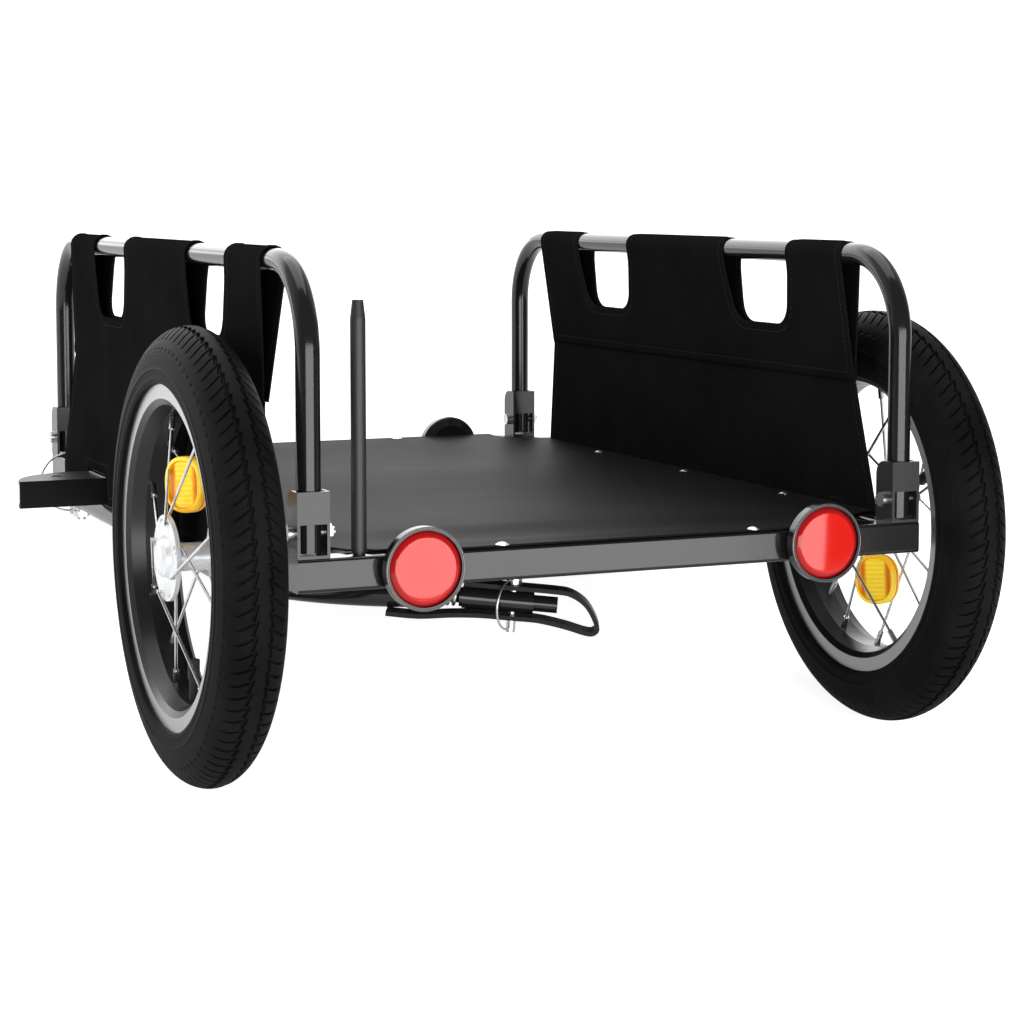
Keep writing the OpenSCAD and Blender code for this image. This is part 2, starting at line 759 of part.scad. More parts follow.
// Two lenses back to back with a groove between them, notched where the spokes hold it
module wheel_reflector(s) {
    color("#f2a516") wheel_place(s) difference() {
        rotate([s < 0 ? -5 : 175, 0, 0]) translate([0, 0, spoke_refl_r])
            rotate([90, 0, 90 - s * spoke_refl_turn]) lens_pair();
        for (i = [0:spoke_n - 1]) spoke_wire(spoke_ends(i), 0.6);
    }
}

module lens_pair() {
    w = spoke_refl_w;
    l = spoke_refl_l;
    t = spoke_refl_t;
    rim = 3.2;
    deep = 2.2;
    groove = 0.09 * t;
    difference() {
        union() {
            linear_extrude(t, center = true) polygon(oval(w - 3, l - 3));
            linear_extrude(t - 2, center = true) polygon(oval(w - 1, l - 1));
            for (m = [0, 1]) mirror([0, 0, m]) translate([0, 0, groove / 2])
                linear_extrude(t / 2 - groove / 2 - 2) polygon(oval(w, l));
        }
        for (m = [0, 1]) mirror([0, 0, m]) translate([0, 0, t / 2 - deep])
            linear_extrude(2 * deep) polygon(oval(w - 3 - 2 * rim, l - 3 - 2 * rim));
    }
}

module valve_turn(s) {
    turn = s < 0 ? -87 : 152;
    rotate([turn - 90, 0, 0]) children();
}

module valve(s) {
    bed = spoke_bed_d / 2;
    color("#161616") wheel_place(s) valve_turn(s) {
        translate([0, 0, bed - 15]) cylinder(d = valve_d, h = 16);
        translate([0, 0, bed - 28]) cylinder(d = valve_d + 2, h = 13);
    }
}

rear_bar();
front_bar();
side_tube(-1);  // side_tube_left
side_tube(1);  // side_tube_right
axle_beam();
mid_bar();
post_bracket(-1, post_y_rear);  // post_bracket_rear_left
post_bracket(1, post_y_rear);  // post_bracket_rear_right
post_bracket(-1, post_y_front);  // post_bracket_front_left
post_bracket(1, post_y_front);  // post_bracket_front_right
rail(-1);  // rail_left
rail(1);  // rail_right
rail_bolts();
bed_sheet();
side_panel(-1);  // side_panel_left
side_panel(1);  // side_panel_right
rear_reflector_shells();
rear_reflector_lenses();
front_reflector_shells();
front_reflector_lenses();
flag_rod();
towing_socket();
drawbar_tube();
drawbar_bolt();
locking_pin();
locking_pin_ring();
coupling_spring();
coupling_sleeve();
hitch_yoke();
hitch_pin();
hitch_pin_ring();
stub_axle(-1);  // stub_axle_left
stub_axle(1);  // stub_axle_right
tyre(-1);  // tyre_left
rim(-1);  // rim_left
spokes(-1);  // spokes_left
hub(-1);  // hub_left
wheel_reflector(-1);  // wheel_reflector_left
valve(-1);  // valve_left
tyre(1);  // tyre_right
rim(1);  // rim_right
spokes(1);  // spokes_right
hub(1);  // hub_right
wheel_reflector(1);  // wheel_reflector_right
valve(1);  // valve_right
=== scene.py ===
# %% [markdown]
# A bicycle cargo trailer, dressed for a render. The shapes come from a packed construction
# model, which this script loads as a fixed frame. Everything here adds looks to that frame:
# finishes on the parts whose shape is already right, and new surfaces for cloth, tread and
# lenses, which a construction model only sketches.

# %% Load the frame
import bmesh
import bpy
import json
import math
import numpy as np
from mathutils import Matrix, Vector


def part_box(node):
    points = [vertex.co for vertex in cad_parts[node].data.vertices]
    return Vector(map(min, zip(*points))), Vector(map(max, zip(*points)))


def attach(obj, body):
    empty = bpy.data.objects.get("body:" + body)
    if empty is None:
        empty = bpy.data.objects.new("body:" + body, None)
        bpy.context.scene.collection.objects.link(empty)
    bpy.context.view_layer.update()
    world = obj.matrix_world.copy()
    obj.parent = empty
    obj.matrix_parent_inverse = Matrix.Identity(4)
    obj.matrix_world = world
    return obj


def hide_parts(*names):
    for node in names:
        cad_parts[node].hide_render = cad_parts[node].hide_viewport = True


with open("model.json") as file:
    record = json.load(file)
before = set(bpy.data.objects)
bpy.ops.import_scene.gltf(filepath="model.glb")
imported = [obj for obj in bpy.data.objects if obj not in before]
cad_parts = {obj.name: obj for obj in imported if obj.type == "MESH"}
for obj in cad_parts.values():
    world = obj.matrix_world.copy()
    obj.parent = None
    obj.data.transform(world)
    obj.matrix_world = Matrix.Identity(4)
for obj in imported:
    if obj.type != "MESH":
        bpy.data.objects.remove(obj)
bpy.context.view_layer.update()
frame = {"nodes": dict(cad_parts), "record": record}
MOUNTS = {m["name"]: m for m in frame["record"]["mounts"]}
SIDES = {-1: "left", 1: "right"}
print("frame:", len(frame["nodes"]), "nodes")

# %% [markdown]
# The trailer parks nose down. Every new piece is worked out level, in millimetres, with the
# axle along X, which is far easier, and is then tipped with the frame. The flag rod stands
# square to the load bed, so its axis gives the angle.

# %% Level and parked
AXLE_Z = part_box("tyre_left")[1].z / 2 * 1000
ROD_AXIS = MOUNTS["flag_rod"]["axis"]
TIP = math.atan2(ROD_AXIS[1], ROD_AXIS[2])


def about_axle(points, angle):
    """Turns points about the axle: y cos - z sin and y sin + z cos, with z from the axle."""
    p = np.asarray(points, float)
    y, z = p[..., 1], p[..., 2] - AXLE_Z
    c, s = math.cos(angle), math.sin(angle)
    return np.stack([p[..., 0], y * c - z * s, AXLE_Z + y * s + z * c], -1)


def park(points):
    """Level millimetres to parked metres."""
    return about_axle(points, -TIP) / 1000


def level(points):
    """Parked metres to level millimetres."""
    return about_axle(np.asarray(points, float) * 1000, TIP)


def level_points(node):
    """A node's vertices, in level millimetres."""
    vertices = frame["nodes"][node].data.vertices
    co = np.zeros(len(vertices) * 3, np.float32)
    vertices.foreach_get("co", co)
    return level(co.reshape(-1, 3))


def level_box(node):
    """Lowest and highest corner of a node in level millimetres."""
    p = level_points(node)
    return p.min(0), p.max(0)


def middle(node):
    """Middle of a node's box in level millimetres."""
    return sum(level_box(node)) / 2


def tipped(vector):
    """A level direction, turned as the parked trailer is."""
    v = park(np.array([vector, (0, 0, 0)], float) + (0, 0, AXLE_Z))
    return Vector(v[0] - v[1]).normalized()


print("axle height", round(AXLE_Z, 1), "tip", round(math.degrees(TIP), 2))

# %% [markdown]
# The camera looks along the trailer from behind its left wheel, from a little above. Its
# place and angles are given level too, so that it tips with everything else. The lens is
# long, which keeps the near wheel from looking too large.

# %% Camera
EYE = (-712.9, -1571.6, 397.2)
YAW, PITCH = math.radians(23.376), math.radians(-5.067)
SENSOR, LENS, SHIFT_Y, FAR = 36, 85.63, -0.0996, 50

camera = bpy.data.objects.new("camera", bpy.data.cameras.new("camera"))
bpy.context.scene.collection.objects.link(camera)
look = tipped((math.sin(YAW) * math.cos(PITCH), math.cos(YAW) * math.cos(PITCH), math.sin(PITCH)))
right = tipped((math.cos(YAW), -math.sin(YAW), 0))
turn = Matrix((right, right.cross(look), -look)).transposed().to_4x4()
camera.matrix_world = Matrix.Translation(park(EYE)) @ turn
camera.data.sensor_width = SENSOR
camera.data.lens = LENS
camera.data.shift_y = SHIFT_Y
camera.data.clip_end = FAR
bpy.context.scene.camera = camera
bpy.context.scene.view_settings.view_transform = "Standard"
print("camera at", [round(v, 3) for v in camera.location])

# %% [markdown]
# Shader maths reads best as arithmetic, so the class Wire wraps one socket and answers to
# the usual signs, also when a number stands first, as in 1 - mask. Numbers stay numbers
# until they meet a socket.

# %% Wires
def sign(operation, swapped=False):
    """A method for one sign: the wire and what stands beside it, joined by a Math node."""
    def joined(self, other=0.0):
        return self.maths(operation, *((other, self) if swapped else (self, other)))
    return joined


class Wire:
    """One output socket that can be added to, multiplied and bent."""

    def __init__(self, finish, socket):
        self.finish, self.socket = finish, socket

    def __getitem__(self, name):
        return Wire(self.finish, self.socket.node.outputs[name])

    def maths(self, operation, a, b):
        return self.finish.node("Math", {"operation": operation}, {0: a, 1: b})

    __add__, __radd__ = sign("ADD"), sign("ADD", swapped=True)
    __sub__, __rsub__ = sign("SUBTRACT"), sign("SUBTRACT", swapped=True)
    __mul__, __rmul__ = sign("MULTIPLY"), sign("MULTIPLY", swapped=True)
    __truediv__, __rtruediv__ = sign("DIVIDE"), sign("DIVIDE", swapped=True)
    __pow__, __rpow__ = sign("POWER"), sign("POWER", swapped=True)
    __abs__ = sign("ABSOLUTE")
    sin, fraction = sign("SINE"), sign("FRACT")

    def ramp(self, low, high, start=0.0, end=1.0):
        """start below low, end above high, and a soft step between."""
        return self.finish.node("MapRange", {"interpolation_type": "SMOOTHSTEP"},
                                {0: self, 1: low, 2: high, 3: start, 4: end})


print("wires ready")

# %% [markdown]
# A finish is one material. Its noise is measured in metres on the object itself, so that a
# crystal or a speck of dust has its real size, and done() joins everything to one shader.

# %% Finishes
class Finish:
    """A material, or another owner of nodes, under construction."""

    def __init__(self, name, owner=None):
        self.item = owner or bpy.data.materials.new(name)
        self.item.use_nodes = True
        self.tree = self.item.node_tree
        self.tree.nodes.clear()

    def node(self, kind, settings=None, sockets=None, out=0):
        """A new node. A wire is linked to its socket, and anything else is set on it."""
        n = self.tree.nodes.new("ShaderNode" + kind)
        for key, value in (settings or {}).items():
            setattr(n, key, value)
        for key, value in (sockets or {}).items():
            if isinstance(value, Wire):
                self.tree.links.new(value.socket, n.inputs[key])
            elif isinstance(value, tuple) and len(value) == 3 and n.inputs[key].type == "RGBA":
                n.inputs[key].default_value = (*value, 1)
            else:
                n.inputs[key].default_value = value
        return Wire(self, n.outputs[out]) if len(n.outputs) else None

    def place(self):
        """Object coordinates, in metres."""
        return self.node("TexCoord", out=3)

    def moved(self, centre, turn=(0, 0, 0), scale=(1, 1, 1)):
        """Object coordinates measured from a centre given in level millimetres."""
        return self.node("Mapping", {"vector_type": "TEXTURE"}, {
            0: self.place(), 1: tuple(park(centre)), 2: turn, 3: scale})

    def uv(self):
        return self.node("UVMap", {"uv_map": "cloth"})

    def split(self, vector):
        return self.node("SeparateXYZ", {}, {0: vector})

    def attribute(self, name):
        return self.node("Attribute", {"attribute_name": name}, out=2)

    def noise(self, size, detail=3.0, where=None):
        """Noise whose lumps are about size metres across."""
        return self.node("TexNoise", {}, {"Vector": where or self.place(), "Scale": 1 / size,
                                          "Detail": detail})

    def mix(self, mask, a, b):
        return self.node("Mix", {"data_type": "RGBA"}, {0: mask, 6: a, 7: b}, out=2)

    def done(self, colour, rough, bump, depth, **rest):
        """Principled shader; bump is a height of 0 to 1, depth what 1 stands for in metres."""
        normal = self.node("Bump", {}, {"Strength": 1.0, "Distance": depth, "Height": bump})
        shader = self.node("BsdfPrincipled", {}, {"Base Color": colour, "Roughness": rough,
                                                  "Normal": normal, **rest})
        self.node("OutputMaterial", {}, {0: shader})
        return self.item


print("finishes ready")

# %% [markdown]
# Every new piece is a grid or a list of level points, with faces between them. It could be
# modelled by hand, but a formula on whole arrays keeps a piece exact, and says what it is.

# %% Surfaces from points
def mesh(name, points, faces, sharp=None, solid=False, attributes=None, uv=None):
    """An object at the origin from level points and faces, smooth up to sharp degrees.

    solid merges the poles and turns a closed shape outwards, by its signed volume."""
    data = bpy.data.meshes.new(name)
    data.from_pydata(park(points).tolist(), [], [list(f) for f in faces])
    for key, values in (attributes or {}).items():
        data.attributes.new(key, "FLOAT", "POINT").data.foreach_set("value", np.ravel(values))
    if uv is not None:
        corner = np.zeros(len(data.loops), np.int32)
        data.loops.foreach_get("vertex_index", corner)
        layer = data.uv_layers.new(name="cloth")
        layer.data.foreach_set("uv", np.asarray(uv, np.float32).reshape(-1, 2)[corner].ravel())
    if solid:
        work = bmesh.new()
        work.from_mesh(data)
        bmesh.ops.remove_doubles(work, verts=work.verts, dist=1e-7)
        if work.calc_volume(signed=True) < 0:
            bmesh.ops.reverse_faces(work, faces=work.faces)
        work.to_mesh(data)
        work.free()
    data.shade_smooth()
    if sharp:
        data.set_sharp_from_angle(angle=math.radians(sharp))
    o = bpy.data.objects.new(name, data)
    bpy.context.scene.collection.objects.link(o)
    return o


def grid_faces(rows, columns, closed=(False, False)):
    """The cells of a grid of points as quads; a closed direction joins its last to its first."""
    i = np.arange(rows if closed[0] else rows - 1)
    j = np.arange(columns if closed[1] else columns - 1)
    i, j = [a.ravel() for a in np.meshgrid(i, j, indexing="ij")]
    i1, j1 = (i + 1) % rows, (j + 1) % columns
    return np.stack([i * columns + j, i1 * columns + j, i1 * columns + j1, i * columns + j1], -1)


def surface(name, points, closed=(False, False), **rest):
    """A mesh from a grid of level points (rows, columns, 3)."""
    p = np.asarray(points, float)
    return mesh(name, p.reshape(-1, 3), grid_faces(*p.shape[:2], closed), **rest)


def cap_ends(o):
    """Closes every open loop of an object's mesh with one face, and turns faces outwards."""
    work = bmesh.new()
    work.from_mesh(o.data)
    bmesh.ops.holes_fill(work, edges=[e for e in work.edges if e.is_boundary])
    bmesh.ops.recalc_face_normals(work, faces=work.faces)
    work.to_mesh(o.data)
    work.free()


def step(x, low, high):
    """0 below low, 1 above high, and a smooth step between."""
    t = np.clip((x - low) / (high - low), 0, 1)
    return t * t * (3 - 2 * t)


def bell(x, at, width):
    """1 where x is at, falling away on both sides within about width."""
    return np.exp(-(((x - at) / width) ** 2))


print("surfaces ready")

# %% [markdown]
# A black gloss part shows nothing but what it reflects, so the lamps are placed for their
# mirror images. One broad soft box behind the camera lies as an even grey on every face that
# looks back. A large one overhead gives the bed its sheen, and a third at the left lights the
# wheel without being mirrored. Lamps fit this better than a picture of a sky would.

# %% Lamps
def soft_box(name, place, aim, size, radiance):
    """A flat lamp. Its power is radiance times area times pi, so size doesn't dim it.

    place and aim are level millimetres, and size is metres."""
    data = bpy.data.lights.new(name, "AREA")
    data.shape = "RECTANGLE"
    data.size, data.size_y = size
    data.energy = radiance * size[0] * size[1] * math.pi
    lamp = bpy.data.objects.new(name, data)
    lamp.location = park(place)
    lamp.rotation_euler = (Vector(park(aim)) - lamp.location).to_track_quat("-Z", "Y").to_euler()
    bpy.context.scene.collection.objects.link(lamp)
    return lamp


soft_box("box_behind", (-170, -2330, 80), (-170, 0, 120), (3.2, 1.05), radiance=4.7)
soft_box("box_above", (100, 500, 2600), (0, 250, 0), (2.6, 2.6), radiance=1.6)
wash = soft_box("box_left", (-2600, 100, 900), (0, 0, 150), (1.6, 1.6), radiance=2.6)
wash.visible_glossy = False
print("lamps: 3")

# %% [markdown]
# The room round the trailer is white to look at, dim as a light, and uneven in a mirror:
# brighter ahead than behind, with a bright wall straight ahead for tubes seen at a grazing
# angle. The kind of ray tells which of the three is asked for.

# %% Room
world = bpy.data.worlds.new("studio")
bpy.context.scene.world = world
sky = Finish("studio", owner=world)
ray = sky.node("LightPath")
direction = sky.split(sky.node("TexCoord", out=0))
far_wall = direction["Y"].ramp(0.6, 0.92, 0, 2.5) * direction["Z"].ramp(-0.04, 0.04)
mirrored = direction["Y"].ramp(-0.35, 0.55, 0.10, 0.62) + far_wall
seen = ray["Is Glossy Ray"] * mirrored + ray["Is Transmission Ray"] * 0.9
others = 1.0 - ray["Is Glossy Ray"]
strength = ray["Is Camera Ray"] + (1.0 - ray["Is Camera Ray"]) * (seen + others * 0.36)
sky.node("OutputWorld", {}, {0: sky.node("Background", {}, {0: (1, 1, 1), 1: strength})})
print("room:", world.name)

# %% [markdown]
# The floor is pale paper that lifts to white. Mirrored in a black part it is dark behind the
# trailer, greyer under it, and bright far ahead.

# %% Floor
FLOOR = 12.0

edge = np.linspace(-FLOOR, FLOOR, 3)
floor_x, floor_y = np.meshgrid(edge, edge, indexing="ij")
floor = surface("floor", level(np.stack([floor_x, floor_y, 0 * floor_x], -1)))
paper = Finish("pale_floor")
ray = paper.node("LightPath")
grain = paper.noise(0.4, 2)
at = paper.split(paper.place())
ahead = at["Y"].ramp(-0.5, 0.7, 0.04, 0.5) + at["Y"].ramp(1.6, 3.4, 0, 2.4)
glow = ray["Is Camera Ray"] * 0.85 + (1.0 - ray["Is Camera Ray"]) * ray["Is Glossy Ray"] * ahead
pale = paper.mix(grain, (0.80, 0.80, 0.80), (0.82, 0.82, 0.82))
lit = paper.node("BsdfDiffuse", {}, {0: pale})
lift = paper.node("Emission", {}, {0: (1, 1, 1), 1: glow})
paper.node("OutputMaterial", {}, {0: paper.node("AddShader", {}, {0: lit, 1: lift})})
floor.data.materials.append(paper.item)
print("floor", 2 * FLOOR, "m wide")

# %% [markdown]
# Finishes come next, one for each slot of the record. Black enamel is nearly all reflection:
# a low roughness, an orange-peel bump a millimetre across, and a little dust that dulls it
# in drifts. One plain dark colour would look like glass; the bump and the dust make it
# paint. Brackets get a thicker, duller coat of the same, and the yoke and the towing socket
# the dullest of all.

# %% Black enamel
def enamel(name, colour, rough, peel, gloss=0.5):
    """Sprayed paint: gloss, orange peel, and dust where a large and a small noise agree."""
    f = Finish(name)
    drift = f.noise(0.07, 4)
    dust = f.noise(0.0012, 2).ramp(0.56, 0.74) * drift.ramp(0.42, 0.68)
    height = f.noise(0.0013, 1.5) * 0.8 + f.noise(0.012, 2) * 0.2
    shade = f.mix(dust * 0.2, colour, (0.06, 0.06, 0.06))
    return f.done(shade, rough + drift * 0.05 + dust * 0.15, height, peel,
                  **{"Specular IOR Level": gloss})


gloss_black = enamel("gloss_black_paint", (0.010, 0.010, 0.011), 0.10, 0.00003)
bracket_black = enamel("bracket_paint", (0.022, 0.022, 0.023), 0.20, 0.00006)
yoke_black = enamel("yoke_paint", (0.008, 0.008, 0.008), 0.34, 0.00005, gloss=0.12)
print("enamels:", gloss_black.name, bracket_black.name, yoke_black.name)

# %% [markdown]
# Bright metals differ by how they were worked. Zinc-plated pins and bolts are cloudy, with
# fine crystals; spokes are drawn wire; the hub is turned, so its marks are rings about the
# axle, found from the distance to the wheel's centre. Their colours are nearly alike, so it
# is mostly the roughness and the bump that tell them apart.

# %% Bright metals
WHEEL_X = middle("tyre_right")[0]


def plated(name, colour, rough, crystal):
    """Zinc plate: metal whose roughness clouds over, with crystals so many metres wide."""
    f = Finish(name)
    cloud = f.noise(0.02, 5)
    cells = f.node("TexVoronoi", {}, {"Vector": f.place(), "Scale": 1 / crystal}, out=0)
    shade = f.mix(cloud.ramp(0.3, 0.7), colour, tuple(0.8 * c for c in colour))
    return f.done(shade, rough + cloud * 0.16 + cells * 0.05, cells, 0.00001, Metallic=1.0)


def wheel_axis(f, side):
    """Distance from the wheel's own axis, and distance outwards along it, as two wires."""
    p = f.split(f.moved((side * WHEEL_X, 0, AXLE_Z)))
    away = (p["Y"] * p["Y"] + p["Z"] * p["Z"]) ** 0.5
    return away, p["X"] * side


def turned_metal(name, side):
    """Polished aluminium off a lathe: rings of bump about the axle, and a cloudy gloss."""
    f = Finish(name)
    away, out = wheel_axis(f, side)
    rings = (away * 9000).sin() * 0.5 + (out * 11000).sin() * 0.5
    cloud = f.noise(0.012, 4)
    shade = f.mix(cloud.ramp(0.35, 0.75), (0.96, 0.97, 0.98), (0.86, 0.87, 0.88))
    return f.done(shade, 0.22 + cloud * 0.14, rings * 0.5 + 0.5, 0.000006, Metallic=0.3)


bright_steel = plated("bright_steel", (0.72, 0.73, 0.74), 0.18, 0.0009)
lip_steel = plated("lip_steel", (0.24, 0.21, 0.21), 0.16, 0.0009)
spoke_steel = plated("spoke_steel", (0.82, 0.83, 0.84), 0.16, 0.0005)
hub_silver = {s: turned_metal("hub_silver_" + n, s) for s, n in SIDES.items()}
print("metals:", bright_steel.name, spoke_steel.name, len(hub_silver), "hubs")

# %% [markdown]
# The rim is black all over, but its outer edge was machined bare after it was coated. That
# takes no second part: the metal shows beyond one distance from the axle, and only where the
# rim also stands far enough out from the wheel's middle plane.

# %% Rims
RING_FROM = 0.1066  # metres from the axle
FACE_FROM = 0.0188  # metres from the wheel's middle plane
RING_BLUR = 0.0002


def coated_rim(name, side):
    """Black coating with a machined ring on each outward face, rings of tool marks on it."""
    f = Finish(name)
    away, out = wheel_axis(f, side)
    bare = (away.ramp(RING_FROM - RING_BLUR, RING_FROM + RING_BLUR)
            * abs(out).ramp(FACE_FROM - RING_BLUR, FACE_FROM + RING_BLUR))
    marks = (away * 14000).sin() * 0.5 + 0.5
    cloud = f.noise(0.03, 4)
    shade = f.mix(bare, (0.010, 0.010, 0.011), (0.52, 0.53, 0.54))
    rough = 0.24 + cloud * 0.12 + bare * 0.04
    return f.done(shade, rough, marks * bare + f.noise(0.002) * (1 - bare) * 0.6,
                  0.00001, Metallic=bare)


rim_black = {s: coated_rim("rim_black_" + n, s) for s, n in SIDES.items()}
print("rims:", [m.name for m in rim_black.values()])

# %% [markdown]
# The reflector shells are glossy black mouldings, the flag rod is matt fibreglass with lines
# along it, valve caps are dull rubber. A round lens is painted darker where its wall is steep,
# which is painted shade. An amber lens lies over prisms that throw light back; here it is given
# a painted glow, an emission, and is painted pale where it is thin and dark orange in its folds,
# which is painted light and painted shade. Light could really be sent through the lenses, but
# that is slow and grainy on pieces this small. They are opaque instead, and two attributes of
# the mesh say where the painted shade and the painted glow go: deep for the shade, and one for
# the glow.

# %% Plastics
def moulded(name, colour, rough, grain, size=0.0015):
    """Moulded plastic with a grain of the given size, and cloudy gloss."""
    f = Finish(name)
    cloud = f.noise(0.03, 3)
    shade = f.mix(cloud, colour, tuple(1.5 * c for c in colour))
    return f.done(shade, rough + cloud * 0.1, f.noise(size, 2), grain)


def drawn_rod(name):
    """Pultruded rod: fine lines along its length, which runs along the rod's own axis."""
    f = Finish(name)
    p = f.moved(middle("flag_rod"), turn=(-TIP, 0, 0), scale=(1, 1, 60))
    lines = f.noise(0.0009, 3, where=p)
    shade = f.mix(lines, (0.010, 0.010, 0.010), (0.035, 0.035, 0.036))
    return f.done(shade, 0.34 + lines * 0.15, lines, 0.00004)


def dome_lens(name, colour, deep):
    """A clear coloured dome over its reflecting back, painted darker where the wall is steep:
    painted shade.
    """
    f = Finish(name)
    steep_painted_shade = f.attribute("deep")
    cloud = f.noise(0.03, 2)
    shade = f.mix(steep_painted_shade, f.mix(cloud, colour, tuple(0.9 * c for c in colour)), deep)
    return f.done(shade, 0.05 + cloud * 0.03, f.noise(0.02, 1), 0.00002, IOR=1.5)


def prism_lens(name):
    """Amber plastic with a painted glow: it emits light, is painted pale where it is thin, and has
    painted shade, dark orange, in its folds.
    """
    f = Finish(name)
    cloud = f.noise(0.006, 3)
    # deep marks the painted shade, dark orange in the folds; the other attribute marks the painted
    # glow, pale where the plastic is thin
    painted_glow, deep = f.attribute("painted_glow"), f.attribute("deep")
    amber = f.mix(cloud, (0.86, 0.36, 0.004), (0.90, 0.50, 0.006))
    shade = f.mix(deep, f.mix(painted_glow, amber, (0.96, 0.76, 0.05)), (0.58, 0.13, 0.001))
    # the emission is a painted glow, for the lens is no lamp
    return f.done(shade, 0.10 + cloud * 0.06, f.noise(0.0012, 2), 0.00003, IOR=1.5,
                  **{"Emission Color": shade, "Emission Strength": 0.34})


shell_plastic = moulded("shell_plastic", (0.010, 0.010, 0.010), 0.12, 0.00001)
valve_rubber = moulded("valve_rubber", (0.014, 0.014, 0.014), 0.55, 0.00004)
rod_plastic = drawn_rod("rod_plastic")
# the second colour of each lens is its painted shade, on its side and its steep ring
red_lens = dome_lens("red_lens", (0.72, 0.014, 0.008), (0.30, 0.004, 0.006))
clear_lens = dome_lens("clear_lens", (0.80, 0.82, 0.84), (0.35, 0.36, 0.38))
amber_plastic = prism_lens("amber_plastic")
print("plastics:", shell_plastic.name, rod_plastic.name, red_lens.name, amber_plastic.name)

# %% [markdown]
# Tyre rubber is black and hardly shines. Its bloom is patchy, pale grains of dust sit in it,
# and the walls carry the fine rings of the mould. The lugs are in the mesh, so the finish
# only adds what is finer than a lug.

# %% Rubber
WALL_ENDS = (0.142, 0.146)  # metres from the axle, where the mould rings fade out


def rubber(name, side):
    """Matt rubber: patchy bloom, fine grain, and mould rings about the axle."""
    f = Finish(name)
    away, _ = wheel_axis(f, side)
    bloom = f.noise(0.05, 5)
    grain = f.noise(0.0011, 2)
    rings = (away * 2600).sin() * (1 - away.ramp(*WALL_ENDS))
    shade = f.mix(bloom.ramp(0.35, 0.7), (0.0055, 0.0055, 0.006), (0.0105, 0.0105, 0.011))
    shade = f.mix(grain.ramp(0.6, 0.8) * 0.4, shade, (0.022, 0.022, 0.022))
    return f.done(shade, 0.46 + bloom * 0.14, grain * 0.7 + rings * 0.3, 0.00008,
                  **{"Specular IOR Level": 0.04})


tyre_rubber = {s: rubber("tyre_rubber_" + n, s) for s, n in SIDES.items()}
print("rubber:", len(tyre_rubber))

# %% [markdown]
# The cloth is a coated black weave. Its threads pass over and under in turn, which two sine
# waves give: the sign of their product says which thread is on top. A picture of a weave
# would do from afar, but it repeats and blurs, which a formula doesn't. Coordinates are those
# of the flat cloth in metres, so the weave stays true where the sheet bends. The stitching
# follows the cut edge, whose distance each point of the cloth carries.

# %% Cloth
STITCH_IN = 0.0066  # metres in from the cut edge
STITCH_LONG = 0.0034


def woven(name, colour, lighter, rough, gloss, thread=0.0009):
    """Plain weave of the given thread width on the cloth's own flat coordinates."""
    f = Finish(name)
    flat = f.split(f.uv())
    u, v = flat["X"] * (math.pi / thread), flat["Y"] * (math.pi / thread)
    over = (u.sin() * v.sin()).ramp(-0.25, 0.25)
    warp, weft = abs(u.sin()) ** 0.6, abs(v.sin()) ** 0.6
    height = over * warp + (1 - over) * weft
    wear = f.noise(0.06, 5)
    # the colour is half painted shade, lighter on the threads' crests and darker in the gaps between
    # them, and half wear, a patchy tone
    shade = f.mix(height * 0.5 + wear.ramp(0.3, 0.7) * 0.5, colour, lighter)
    seam = abs(f.attribute("edge") - STITCH_IN)
    along = ((flat["X"] + flat["Y"]) / STITCH_LONG).fraction()
    stitch = (1 - seam.ramp(0.0003, 0.0006)) * (1 - along.ramp(0.62, 0.7)) * along.ramp(0.0, 0.1)
    shade = f.mix(stitch, shade, tuple(2.6 * c for c in lighter))
    return f.done(shade, rough + wear * 0.1, height + stitch * 2.0, 0.00012,
                  **{"Specular IOR Level": gloss})


side_cloth = woven("woven_cloth", (0.0085, 0.0085, 0.0086), (0.015, 0.015, 0.0152), 0.6, 0.0)
bed_cloth = woven("woven_cloth_bed", (0.0075, 0.0075, 0.0075), (0.014, 0.014, 0.014),
                  0.42, 0.018)
print("cloths:", side_cloth.name, bed_cloth.name)

# %% [markdown]
# Each node already says, in the record, which finish it takes, so a table from slot to finish
# dresses them all. Parts on the left and right wheels have their own copy, because their
# rings run round their own axle.

# %% Dress the frame
SLOT_FINISH = {
    "gloss_black_paint": gloss_black, "bracket_paint": bracket_black,
    "bright_steel": bright_steel, "spoke_steel": spoke_steel, "woven_cloth": side_cloth,
    "shell_plastic": shell_plastic, "valve_rubber": valve_rubber, "rod_plastic": rod_plastic,
    "red_lens": red_lens, "clear_lens": clear_lens, "amber_plastic": amber_plastic,
    "tyre_rubber": tyre_rubber, "rim_black": rim_black, "hub_silver": hub_silver,
}
OWN_FINISH = {"hitch_yoke": yoke_black, "towing_socket": yoke_black}
for part in frame["record"]["subparts"]:
    name = part["node"]
    finish = OWN_FINISH.get(name, SLOT_FINISH[part["material_slot"]])
    if isinstance(finish, dict):
        finish = finish[-1 if name.endswith("left") else 1]
    slots = frame["nodes"][name].data.materials
    slots.clear()
    slots.append(finish)

# %% [markdown]
# New pieces all end the same way: a finish in a material slot, the body it rides on and the
# nodes it stands for. One function does all three, so that no piece misses one.

# %% Fit a piece
def fit(piece, finish, body="trailer", stands_for=()):
    """Gives a piece its finish, slot and body, and hides the nodes it stands for."""
    piece.data.materials.append(finish)
    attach(piece, body)
    if stands_for:
        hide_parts(*stands_for)
    return piece


def triangles(piece):
    """How many triangles the piece has before its modifiers."""
    return sum(len(f.vertices) - 2 for f in piece.data.polygons)


print("ready to fit pieces")

# %% [markdown]
# The tread is moulded rubber: a smooth middle rib, a zigzag groove on each side of it, and
# cross-grooves that hook towards the shoulder. A bump would be lost on the outline, where
# the lugs show best, so they are real. A lug counts as 1 from one cross-groove to the next.

